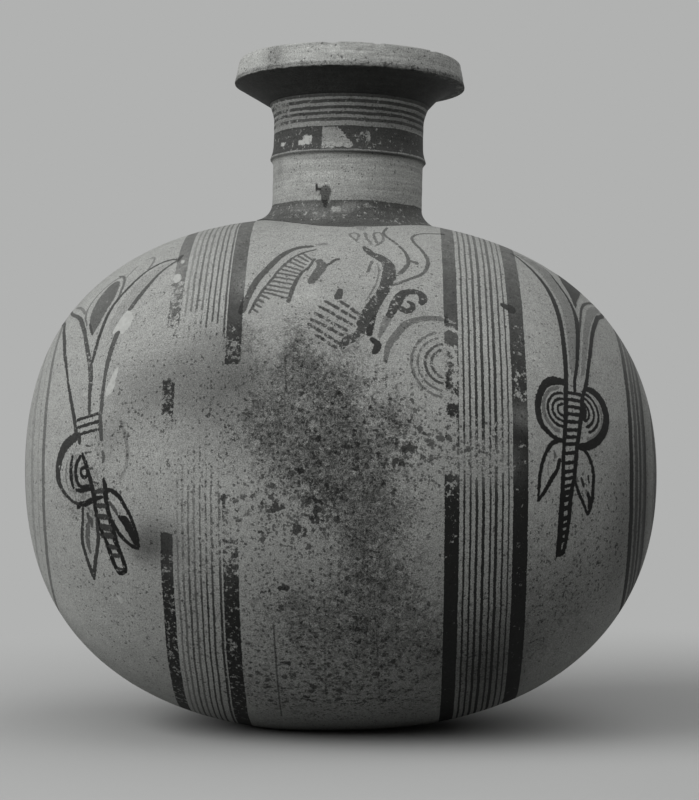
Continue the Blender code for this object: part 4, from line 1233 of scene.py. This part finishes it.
# %% The bird and the ringed disc
def paint_bird(name, behind=False):
    """The bird, its tendrils and the ringed disc of the middle panel."""
    lines = Drawing(name, behind)
    lines.stroke(
        [(-43.4, 54), (-41, 49.7), (-39.3, 47.3), (-36.7, 44.4), (-33.8, 42.2), (-30.4, 39.4),
         (-27.1, 37), (-23.8, 35.3), (-19.9, 34), (-16, 33.4), (-12.7, 33.1)],
        [2.8, 3.2, 3.4, 3.4, 3.4, 3.3, 3.2, 3, 2.8, 2.5, 1.9], 0.8)
    lines.stroke([(-11, 32.4), (-7, 32)], [2, 3], 0.4)
    lines.stroke(
        [(-40.2, 54.6), (-37.1, 51), (-34.3, 48.2), (-30.4, 45), (-26.6, 41.4), (-22.3, 38.4),
         (-18.2, 36.5), (-14.3, 35.3), (-11, 34.6)], [1.3, 1.5, 1.5, 1.5, 1.5, 1.5, 1.4, 1.3, 1.2],
        0.76)
    wing_bars = [
        (-16.9, 36.5, -12.7, 38.7), (-19.3, 37.2, -14.3, 39.4), (-21.3, 38.4, -15.4, 40.6),
        (-23.2, 39.4, -16.6, 41.6), (-24.9, 40.9, -17.7, 42.6), (-26.2, 42.1, -18.8, 43.6),
        (-27.7, 43.3, -19.3, 44.6), (-29.1, 44.6, -19.9, 45.8), (-30.4, 45.8, -20.2, 47.1),
        (-32.1, 47, -20.7, 48.5), (-33.2, 48.2, -21.3, 49.8), (-34.4, 49, -22.1, 51.2),
        (-35.4, 49.9, -31.6, 51), (-36.8, 51, -33.8, 52), (-38, 52.2, -35.1, 53.3),
        (-39.2, 53.4, -36.6, 54.4),
    ]
    for x, degrees, end_x, end_degrees in wing_bars:
        lines.stroke([(x, degrees), (end_x, end_degrees)], [1.45, 1.2], 0.72)
    lines.stroke(
        [(-11.4, 38.4), (-13.8, 41.4), (-16.9, 43.3), (-18.8, 45.3), (-20.7, 48.2), (-22.4, 51.9)],
        [1.4, 1.5, 1.6, 2, 2.3, 2], 0.78)
    lines.stroke([(-9, 39.2), (-7.8, 41.2), (-9.6, 43.4), (-12.4, 46.2)], [3.6, 5.2, 5, 3.6], 0.72)
    lines.stroke([(-7.7, 41.6), (-3.8, 40), (-2.1, 38.9), (-0.2, 38.4)], [2, 1.6, 1.7, 1.9], 0.8)
    lines.stroke(
        [(11.8, 33), (13.4, 34.4), (15.1, 35.6), (19, 37), (22.6, 38.9), (24, 41.4), (23.6, 44.3)],
        [2, 4, 3.8, 4.8, 5.4, 6.4, 7], 0.84)
    lines.stroke(
        [(23.6, 44), (22, 47.2), (19.8, 49.8), (16.8, 52.6), (14.4, 55.4), (12.4, 57.6)],
        [6.2, 5.8, 5.6, 6.2, 7.4, 6.8], 0.88)
    lines.stroke(
        [(18.2, 39.4), (19, 42.2), (18.2, 45.4), (16, 48.6), (13.2, 51.6)],
        [0.7, 0.9, 0.9, 0.9, 0.7], 0.5)
    lines.stroke([(16.6, 54.4), (15.4, 57.2), (15, 60)], [4, 4.2, 3], 0.95)
    lines.stroke([(12, 58), (9.6, 60.6), (5.1, 61.6), (2.9, 63.2)], [4, 4.8, 4.8, 3.2], 0.85)
    lines.stroke([(16.4, 61.3), (18.9, 62.6), (17.6, 64.2)], [2.6, 3.8, 3], 0.95)
    lines.stroke([(15.7, 38.9), (14.9, 40.4), (13.9, 42.6)], [1.8, 1.4, 1.6], 0.65)
    lines.stroke([(1.2, 48.8), (0.4, 50.6)], [3, 4], 0.85)
    feather_bars = [
        (1.8, 51.9, 10.1, 55.1), (-5.4, 51.9, 8.4, 56.3), (-7.7, 53.4, 6.8, 57.8),
        (-9.9, 55.1, 4.6, 59.3), (-11.6, 56.6, 2.9, 60.5), (-12.7, 57.8, 1.2, 62.4),
        (-9.3, 60.5, 0.1, 63.4),
    ]
    for x, degrees, end_x, end_degrees in feather_bars:
        middle = ((x + end_x) / 2, (degrees + end_degrees) / 2)
        lines.stroke([(x, degrees), (middle[0] - 0.8, middle[1] - 0.3)], [1.6, 1.9], 0.82)
        lines.stroke([(middle[0] + 0.9, middle[1] + 0.3), (end_x, end_degrees)], [1.9, 1.6], 0.82)
    lines.stroke(
        [(9, 30.9), (6.8, 29.1), (4.8, 27.2), (5.2, 26), (7.3, 25.7), (9, 26.8), (8.8, 28.7),
         (7.9, 30.1)], 1.4, 0.55)
    lines.stroke([(12, 25.4), (12.9, 28.5), (14.6, 30.4), (15.3, 31.8)], 1.6, 0.55)
    lines.stroke(
        [(17.9, 30.6), (16.8, 28.2), (16.2, 25.7), (17.7, 24.5), (19.6, 24.8), (20.9, 27.2),
         (20.5, 29.6), (18.6, 31.3), (17, 32.3)], 1.5, 0.6)
    lines.wash(
        [(7.2, 18.6), (6.4, 20.4), (7.4, 22.4), (9.6, 24)],
        [(12.8, 18.6), (13.4, 20.8), (12.8, 22.6), (11.4, 24)], 0.3)
    lines.stroke([(9.4, 18), (10, 20)], [2.6, 2], 0.5)
    lines.stroke(
        [(22.7, 20.4), (21.4, 23), (21, 24.8), (22.3, 26.8), (25.7, 29.2), (29, 31.8), (31.4, 34.2),
         (32.9, 36.8), (32.3, 39.4), (29.8, 41.8), (26.8, 43.2)],
        [1.4, 1.4, 1.5, 1.6, 1.6, 1.6, 1.7, 1.9, 2.3, 2.3, 1.8], 0.74)
    lines.stroke(
        [(49.6, 19.3), (45.1, 20.6), (40.7, 21.6), (36.9, 23.5), (35, 25.2), (34.9, 27.2),
         (36.2, 29.2), (39, 31.8), (41.2, 34.6), (42.2, 37.2), (41.2, 39.9), (39, 42), (34, 43.9),
         (29.6, 45.3), (26, 46.4)],
        [1.8, 1.7, 1.5, 1.4, 1.5, 1.6, 1.6, 1.7, 1.8, 1.9, 1.8, 1.9, 1.7, 1.7, 2], 0.72)
    lines.stroke([(34, 37.4), (36.8, 38)], [1.4, 2.4], 0.7)
    lines.stroke([(19.6, 60.6), (21, 58.6), (23.4, 55.8)], [1.6, 3, 4], 0.5)
    lines.stroke(
        [(23, 56.2), (25.6, 53.6), (27.4, 51.4), (29.6, 49.3), (32.9, 48.1), (36.6, 48), (39, 48.8),
         (39.8, 50), (39, 51)], [3, 4.4, 5.4, 4.8, 3.8, 3.6, 4, 4.2, 3.2], 0.9)
    lines.stroke(
        [(32.6, 51), (34.8, 51.8), (34.4, 53), (31.8, 53.7), (29.4, 53.1)],
        [1.6, 2.6, 2.8, 3.2, 3.4], 0.9)
    disc_middle = (50.6, 65.9)
    lines.ring(disc_middle, (7.4, 3.4), 1.4, 0.84, 95, 265)
    lines.ring(disc_middle, (10.2, 4.7), 1.4, 0.86, 95, 265)
    lines.ring(disc_middle, (13.6, 6.3), 1.2, 0.66, 100, 262)
    lines.ring(disc_middle, (16.4, 7.7), 1.4, 0.6, 100, 262)
    lines.stroke(
        [(49.4, 54.8), (43, 55), (36.4, 55.8), (31, 57.5), (26.6, 60.4), (23.6, 63), (22.4, 66)],
        [3, 3, 3.2, 3.8, 3.8, 3, 2.2], 0.6)
    # A drip of slip beyond the panel, at the edge of the outer band
    lines.stroke([(77.4, 47.2), (80.4, 47.8)], [3.4, 4.2], 0.95)
    return lines.finish()

# %% [markdown]
# Where slip and clay flaked off, the paler body shows. Such flakes are shallow scabs with
# a broken outline. Each is made as a small rounded patch: rings of places that spread from
# its middle to its outline, which a brush line could not fill without a seam.

# %% Rounded patches
PATCH_LIFT, PATCH_HIGHEST = 0.08, 0.16


def patch_rows(outline, rings=5):
    """Rings of places from the middle of an outline out to it, with the distance inwards."""
    outline, _ = smooth_path(outline + outline[:1], 1.0)
    outline = outline[:-1:2]
    middle = outline.mean(0)
    share = np.linspace(0.04, 1, rings)[:, None, None]
    places = middle + (outline[None] - middle) * share
    away = (outline - middle) * np.array([1.0, 2.0])
    ink = (1 - share[..., 0]) * np.hypot(*away.T)[None] - 0.25
    return places, ink


class Patches(Drawing):
    """A drawing made of rounded patches, where the strokes would leave gaps."""

    def patch(self, outline, load=1.0):
        """Adds a closed skin: a patch on top, the same sunk below it, and its edge."""
        places, ink = patch_rows(outline)
        rings, count = ink.shape
        along, degrees = places[..., 0].ravel(), places[..., 1].ravel()
        lift = np.clip(STROKE_RISE + PATCH_LIFT * ink.ravel(), STROKE_LOWEST, PATCH_HIGHEST)
        first, below = len(self.places), rings * count + 1
        for height in (lift, np.full(len(lift), SUNK)):
            points = on_barrel(along, degrees, height)
            middle = on_barrel(along[:1], degrees[:1], height[:1])
            self.points += points.tolist() + middle.tolist()
            self.places += places.reshape(-1, 2).tolist() + [places[0, 0].tolist()]
            self.ink += ink.ravel().tolist() + [float(ink.max())]
            self.load += [load] * below
        for ring in range(rings - 1):
            for step in range(count):
                near, far = first + ring * count + step, first + ring * count + (step + 1) % count
                quad = (near, far, far + count, near + count)
                self.faces.append(tuple(reversed(quad)))
                self.faces.append(tuple(point + below for point in quad))
        rim_start = first + (rings - 1) * count
        for step in range(count):
            near, far = rim_start + step, rim_start + (step + 1) % count
            self.faces.append((near, far, far + below, near + below))
            inner, other = first + step, first + (step + 1) % count
            self.faces.append((first + below - 1, inner, other)[::-1])
            self.faces.append((first + 2 * below - 1, inner + below, other + below))

# %% [markdown]
# Now everything is painted. The back can't be seen in the picture, so it carries the same
# two flowers as mirror images, with three small ringed discs between them. Water that ran
# down the belly left thin dark lines, and these are drawn with the same strokes.

# %% Paint the front, the back and the water runs
right_lotus = paint_right_lotus("right_lotus")
left_lotus = paint_left_lotus("left_lotus")
bird = paint_bird("bird_and_disc")
right_lotus_behind = paint_right_lotus("right_lotus_behind", True)
left_lotus_behind = paint_left_lotus("left_lotus_behind", True)
targets_behind = Drawing("ringed_discs_behind")
for along, degrees in ((-24, 282), (24, 282), (0, 268)):
    for reach in (3.2, 6.4, 9.6, 12.8):
        targets_behind.ring((along, degrees), (reach, reach / 2.2), 1.2, 0.85)
targets_behind = targets_behind.finish()
runs = Drawing("dark_water_runs")
runs.stroke([(-28, 121.5), (-27.7, 128), (-27.3, 141), (-27, 153.5)], [0.8, 1, 0.9, 0.7], 0.62)
runs.stroke([(-4.8, 126), (-5, 134.5), (-5, 144.5)], [0.6, 0.9, 0.6], 0.34)
runs.stroke([(18.5, 120), (19.4, 131), (20.4, 147.5)], [0.5, 0.9, 0.6], 0.36)
runs.stroke([(-23, 65.6), (-22.4, 70), (-21.8, 73)], [0.9, 1.3, 0.8], 0.5)
runs = runs.finish()
drawings = [right_lotus, left_lotus, bird, right_lotus_behind, left_lotus_behind,
            targets_behind, runs]

# %% [markdown]
# The pale flakes lie on the left of the front, on the flower and the band beside it, and one
# small one lies low on the belly.

# %% Pale flakes
flakes = Patches("pale_flakes")
flakes.patch(
    [(-99.3, 46.6), (-96.4, 48.2), (-95.4, 50.6), (-97.6, 53), (-101.2, 54.4), (-102.8, 53.2),
     (-106.6, 53.4), (-104.6, 50.2), (-102.4, 48.2)])
flakes.patch(
    [(-101, 63.8), (-101.4, 67), (-103.4, 70.4), (-106.3, 71.3), (-107, 69.6), (-105, 67),
     (-103, 64.4)])
flakes.patch(
    [(-78.4, 38.6), (-76.4, 38.5), (-74.6, 39.6), (-74.4, 41.4), (-76.6, 42.2), (-78.8, 41)])
flakes.patch([(-76, 32.6), (-74.4, 33), (-74.2, 34.4), (-75.8, 34.4)])
flakes.patch([(-102.2, 121.4), (-99.6, 121), (-98.4, 122.6), (-100.6, 123.6)])
flakes = flakes.finish()

# %% [markdown]
# The strokes take the barrel's clay and bands as their ground, so that they melt into it
# beyond their edges. Noise is added to the ink before it is cut off, which frays each line,
# and the same wear that breaks up the bands breaks up the strokes.

# %% Finish of the strokes
tree = Tree("slip_strokes")
grey, height = clay_ground(tree)
ragged = tree.math("MULTIPLY_ADD", tree.noise(800, 4, 0.7), 1.8, -0.9)
edge = tree.step(tree.math("ADD", tree.mark("ink"), ragged), -0.10, 0.14)
stroke_cover = tree.math("MULTIPLY", edge, tree.mark("load"))
cover = tree.math("MAXIMUM", stroke_cover, band_cover(tree))
cover = tree.math("MULTIPLY", cover, paint_left(tree, tree.mark("worn")))
strokes = finish_material(tree, grey, height, cover)
for drawing in drawings:
    drawing.data.materials.append(strokes)
print("drawings with the finish of slip:", len(drawings))

# %% [markdown]
# A flake shows a paler grey inside its broken outline, and the barrel's own clay outside it.
# It has no gloss of slip, so it is a little rougher than the rest.

# %% Finish of the flakes
FLAKE_GREY = 0.47
tree = Tree("bare_body_clay")
grey, height = clay_ground(tree)
ragged = tree.math("MULTIPLY_ADD", tree.noise(380, 5, 0.7), 5.0, -2.5)
edge = tree.step(tree.math("ADD", tree.mark("ink"), ragged), -0.1, 0.35)
pale = tree.math("MULTIPLY_ADD", tree.noise(500, 5, 0.6), 0.3, FLAKE_GREY - 0.15)
tree.feed(tree.shader.inputs["Base Color"], tree.tint(tree.blend(edge, grey, pale), *CAST))
tree.shader.inputs["Roughness"].default_value = 0.95
tree.feed(tree.shader.inputs["Normal"], tree.bump(height, 0.5, GRAIN_DEPTH))
flakes.data.materials.append(tree.material)

# %% [markdown]
# The neck is banded too: four thin lines under the rim, one broad band down to the ridge,
# bare clay below it and a dark root. These follow the height along the neck, which each
# point of the mesh keeps as a number of its own.

# %% Bands round the neck
PALE_CLAY_GREY = 0.5
NECK_BANDS = [
    (-14.0, 5.2, 0.8), (30.2, 42.0, 0.9), (44.3, 45.7, 0.8), (47.3, 48.7, 0.85), (50.2, 51.6, 0.85),
    (53.2, 54.6, 0.85), (56.0, 59.5, 0.85),
]
NECK_RAMP = 100.0
BORE_EDGE = 36.8
BARE_HEIGHT = 72.0
RAMP_START = 0.15


def neck_place(points):
    """Angle round the neck in degrees, and height along it in mm, of each point."""
    x, y, z = points[:, 0] - NECK_OFFSET, points[:, 1], points[:, 2] - CROWN_HEIGHT
    height = z * math.cos(NECK_LEAN) + x * math.sin(NECK_LEAN)
    across = x * math.cos(NECK_LEAN) - z * math.sin(NECK_LEAN)
    # The bore was left bare, so its points are given the height of the bare lip
    in_bore = np.hypot(across, y) < BORE_EDGE
    return np.degrees(np.arctan2(y, across)), np.where(in_bore, BARE_HEIGHT, height)


# Worn places of the neck: height from, to, and angle from, to, with the front at 270
NECK_WEAR = [
    (32, 41.5, 251.5, 261.5, 1.1), (30.5, 32.6, 251.5, 274, 0.7), (32.6, 35.6, 231, 237, 0.9),
    (33, 37.8, 236, 243.5, 0.9), (33.4, 36, 209, 217, 0.85), (34, 39, 276, 289, 0.55),
    (43, 57, 196, 222, 0.55), (43, 57, 222, 320, 0.32), (30, 42, 184, 340, 0.3),
    (-6, 5.4, 180, 360, 0.36), (-1, 2, 259, 267, 0.8), (-4, 3, 205, 235, 0.35),
]
# A worn triangle near the middle of the front: level strips that get shorter upwards
for low in np.arange(31.5, 41, 1.2):
    NECK_WEAR.append((low, low + 1.5, 261, 262 + (41.5 - low) * 1.35, 1.0))
# Other marks, as stretches like the wear (pale and scar) or as soft patches (the rest)
NECK_PALE = [
    (32.6, 35.8, 231.5, 237.5, 0.9), (33.2, 37.6, 237, 243, 1.0), (33.4, 35.8, 211, 215.5, 0.7),
]
# Soil on the neck, with painted shade and light: the veil at 48 mm is the rim's painted shadow, the dark
# line at 29 mm is painted shade under the ridge, and the lightening at 18 mm in front is painted light.
NECK_SOIL_AND_SHADE = [
    (48, 270, 9, 200, 0.42), (75, 0, 6, 400, -0.3), (22, 208, 5, 6, 0.35), (18, 276, 8, 50, -0.3),
    (29, 270, 0.9, 200, 0.95), (28.6, 296, 0.9, 34, 0.3), (75, 231, 5.5, 6.5, 0.6),
    (69, 270, 1.2, 200, 0.5), (74, 330, 8, 26, 0.35),
]
NECK_STAIN = [(9.2, 255.2, 1.6, 2.1, 400), (6.4, 255, 1.8, 1.5, 400), (4.8, 254.8, 1.6, 0.8, 400)]
NECK_SCAR = [(9.7, 13.4, 246.8, 249.0, 1.36), (9.7, 11.3, 246.8, 252, 1.36)]
STAIN_DEPTH = 1.05
NECK_CRUST = [
    (75, 231, 5.5, 6.5, 0.5), (69, 270, 1.2, 200, 0.8), (50, 210, 8, 14, 0.5),
    (74, 330, 8, 26, 0.5),
]
NECK_DUST = [
    (0.6, 268, 2.6, 7, 0.36), (3, 277, 1.8, 9, 0.3), (1.5, 238, 3.4, 12, 0.2), (-2, 254, 3, 9, 0.2),
]
NECK_PITS = [
    (74, 0, 9, 400, 0.35), (69, 0, 2.5, 400, 0.5), (20, 0, 12, 400, 0.12), (50, 0, 8, 400, 0.4),
]


def neck_cover(tree):
    """The slip of the neck's bands, looked up by the height along the neck."""
    waver = tree.math("MULTIPLY_ADD", tree.noise(60, 2, 0.5), 1.2, -0.6)
    hair = tree.math("MULTIPLY_ADD", tree.noise(900, 3, 0.6), 0.8, -0.4)
    height = tree.math("ADD", tree.math("ADD", tree.mark("height"), waver), hair)
    share = tree.math("MULTIPLY_ADD", height, 1 / NECK_RAMP, RAMP_START)
    stops = []
    for start, end, load in NECK_BANDS:
        stops += [(RAMP_START + start / NECK_RAMP, load), (RAMP_START + end / NECK_RAMP, 0)]
    return tree.ramp(share, stops)


def mark_neck(piece):
    """Keeps the height, wear, painted shade and painted light of each place on neck, rim or handle."""
    degrees, height = neck_place(read_points(piece))
    degrees = degrees % 360
    write_mark(piece, "height", height)
    write_mark(piece, "worn", 0.1 + stretches(height, degrees, NECK_WEAR))
    write_mark(piece, "pale", stretches(height, degrees, NECK_PALE, soft=0.9))
    write_mark(piece, "dust_and_sheen", 0.08 + bumps(height, degrees, NECK_DUST))
    stained = np.minimum(bumps(height, degrees, NECK_STAIN), STAIN_DEPTH)
    stained = np.maximum(stained, stretches(height, degrees, NECK_SCAR, soft=0.4))
    write_mark(piece, "smear_and_shade", bumps(height, degrees, NECK_SOIL_AND_SHADE) + stained)
    write_mark(piece, "soil_and_shade", 0.5 * bumps(height, degrees, NECK_CRUST))
    write_mark(piece, "pitted", bumps(height, degrees, NECK_PITS))
    write_mark(piece, "blotted", 0.55 * bumps(height, degrees, NECK_PITS))


def wheel_lines(tree, grey):
    """Fine level lines that the potter's fingers left as the pot turned."""
    place = tree.place(stretch=(0.05, 0.05, 1.0))
    lines = tree.noise(620, 3, 0.6, place=place)
    return tree.math("MULTIPLY", grey, tree.math("MULTIPLY_ADD", lines, 0.9, 0.55))


for piece in (neck, rim, handle):
    mark_neck(piece)
print("heights on the neck:", neck_place(read_points(neck))[1].min().round(1), "mm and up")

# %% [markdown]
# The neck takes the clay recipe with wheel lines, chalky spots where the slip is gone, and
# its bands. The rim is painted only on its underside, up to the edge of the face. The
# handle stays plain clay, because nothing of it shows in the picture.

# %% Finishes of neck, rim and handle
tree = Tree("painted_neck_clay")
grey, height = clay_ground(tree)
grey = wheel_lines(tree, grey)
chalk = tree.math("MULTIPLY_ADD", tree.noise(700, 4, 0.7), 1.4, -0.7)
chalk = tree.step(tree.math("ADD", tree.mark("pale"), chalk), 0.35, 0.6)
grey = tree.blend(chalk, grey, PALE_CLAY_GREY)
cover = tree.math("MULTIPLY", neck_cover(tree), paint_left(tree, tree.mark("worn")))
neck.data.materials.append(finish_material(tree, grey, height, cover))

tree = Tree("rim_clay_finish")
grey, height = clay_ground(tree)
grey = wheel_lines(tree, grey)
wander = tree.math("MULTIPLY_ADD", tree.noise(260, 4, 0.7), 1.6, -0.8)
under = tree.step(tree.math("ADD", tree.mark("height"), wander), 67.6, 68.3, 1.0, 0.0)
cover = tree.math("MULTIPLY", under, paint_left(tree, tree.mark("worn")))
rim.data.materials.append(finish_material(tree, grey, height, cover))

tree = Tree("handle_clay_finish")
grey, height = clay_ground(tree)
handle.data.materials.append(finish_material(tree, grey, height, 0.0))
print("finishes:", [piece.data.materials[0].name for piece in (neck, rim, handle)])

# %% [markdown]
# Every member rides on the one body of this fired pot, stands for its node or nodes of the
# imported model, and is listed with the name of a material slot, which nothing here reads.

# %% Members and their nodes
MEMBERS = [
    (barrel, ("barrel_left", "barrel_right"), "barrel_right_clay"),
    (neck, ("neck", "neck_root_fillet"), "neck_clay"), (rim, ("rim",), "rim_clay"),
    (handle, ("handle",), "handle_clay"), (right_lotus, (), "barrel_right_clay"),
    (left_lotus, (), "barrel_left_clay"), (bird, (), "barrel_right_clay"),
    (right_lotus_behind, (), "barrel_right_clay"), (left_lotus_behind, (), "barrel_left_clay"),
    (targets_behind, (), "barrel_right_clay"), (runs, (), "barrel_right_clay"),
    (flakes, (), "barrel_left_clay"),
]
for piece, nodes, slot in MEMBERS:
    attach(piece, "root")
    if nodes:
        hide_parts(*nodes)
print("pieces on the pot:", len(MEMBERS))

# %% [markdown]
# The floor is a plain pale disc. Far from the jug it glows with exactly the grey of the
# background, so that no horizon shows, and near the jug it catches the shadow. On the left
# the glow begins nearer and paints over part of that shadow as painted light.

# %% Floor
BACKGROUND_GREY = 0.44
BACKGROUND = (BACKGROUND_GREY, BACKGROUND_GREY * 1.01, BACKGROUND_GREY, 1)
FLOOR_GREY = 0.52
FLOOR_BOUNCE = 0.28
FLOOR_RADIUS = 4.0
# The glow is centred 0.13 m right of the jug's middle, so on the left it begins nearer the jug and paints
# light over the floor's shadow there
GLOW_SHIFT = (-0.13, 0.02, 0)
GLOW_START, GLOW_END = 0.20, 0.62


def light_share(tree_nodes, links):
    """1 where the background itself is seen, directly, in gloss or through glass."""
    path = tree_nodes.new("ShaderNodeLightPath")
    first = tree_nodes.new("ShaderNodeMath")
    first.operation = "MAXIMUM"
    links.new(path.outputs["Is Camera Ray"], first.inputs[0])
    links.new(path.outputs["Is Glossy Ray"], first.inputs[1])
    second = tree_nodes.new("ShaderNodeMath")
    second.operation = "MAXIMUM"
    links.new(first.outputs[0], second.inputs[0])
    links.new(path.outputs["Is Transmission Ray"], second.inputs[1])
    return second.outputs[0]


mesh = bmesh.new()
bmesh.ops.create_circle(mesh, cap_ends=True, radius=FLOOR_RADIUS, segments=96)
data = bpy.data.meshes.new("floor")
mesh.to_mesh(data)
mesh.free()
floor = bpy.data.objects.new("floor", data)
bpy.context.scene.collection.objects.link(floor)
floor_tree = Tree("pale_floor")
floor_tree.shader.inputs["Roughness"].default_value = 1.0
floor_tree.shader.inputs["Specular IOR Level"].default_value = 0.0
seen_share = light_share(floor_tree.nodes, floor_tree.material.node_tree.links)
floor_grey = floor_tree.blend(seen_share, FLOOR_BOUNCE, FLOOR_GREY)
floor_tree.feed(floor_tree.shader.inputs["Base Color"], floor_tree.tint(floor_grey, 1.0, 1.01, 1.0))
background_glow = floor_tree.nodes.new("ShaderNodeEmission")
background_glow.inputs["Color"].default_value = BACKGROUND
distance = floor_tree.nodes.new("ShaderNodeVectorMath")
distance.operation = "LENGTH"
floor_tree.feed(distance.inputs[0], floor_tree.place(shift=GLOW_SHIFT))
far = floor_tree.step(distance.outputs["Value"], GLOW_START, GLOW_END)
far = floor_tree.math("MULTIPLY", far, seen_share)
join = floor_tree.nodes.new("ShaderNodeMixShader")
floor_tree.feed(join.inputs[0], far)
floor_tree.feed(join.inputs[1], floor_tree.shader.outputs[0])
floor_tree.feed(join.inputs[2], background_glow.outputs[0])
floor_tree.feed(floor_tree.nodes["Material Output"].inputs["Surface"], join.outputs[0])
floor.data.materials.append(floor_tree.material)
print("floor:", 2 * FLOOR_RADIUS, "m across")

# %% [markdown]
# The room gives a weak even light. Where the camera or a gloss sees the room itself, it
# shows the grey of the background instead, so the two can be set apart from each other.

# %% Background
WORLD_LIGHT = 0.07

world = bpy.data.worlds.new("room")
bpy.context.scene.world = world
world.use_nodes = True
nodes, links = world.node_tree.nodes, world.node_tree.links
nodes.clear()
seen, unseen = nodes.new("ShaderNodeBackground"), nodes.new("ShaderNodeBackground")
seen.inputs["Color"].default_value = BACKGROUND
unseen.inputs["Color"].default_value = (WORLD_LIGHT, WORLD_LIGHT, WORLD_LIGHT, 1)
join = nodes.new("ShaderNodeMixShader")
links.new(light_share(nodes, links), join.inputs[0])
links.new(unseen.outputs[0], join.inputs[1])
links.new(seen.outputs[0], join.inputs[2])
links.new(join.outputs[0], nodes.new("ShaderNodeOutputWorld").inputs["Surface"])

# %% [markdown]
# The main light comes from the left, in front and above, as through a window. Two larger
# and weaker lamps, high in front and high on the right, soften the shadows.

# %% Lamps
LAMP_TARGET = (0, 0, 0.13)


def lamp(name, place, size, power):
    """A square lamp at a place, turned towards the middle of the barrel."""
    data = bpy.data.lights.new(name, "AREA")
    data.shape, data.size, data.energy = "SQUARE", size, power
    item = bpy.data.objects.new(name, data)
    bpy.context.scene.collection.objects.link(item)
    item.location = place
    aim = Vector(LAMP_TARGET) - Vector(place)
    item.rotation_euler = aim.to_track_quat("-Z", "Y").to_euler()
    print(name, "stands", round(aim.length, 2), "m from the jug")


lamp("window_light", (-1.65, -0.95, 1.23), size=1.6, power=32)
lamp("room_light", (0.0, -1.26, 1.93), size=3.0, power=19)
lamp("side_light", (1.26, 0.0, 1.93), size=3.0, power=19)
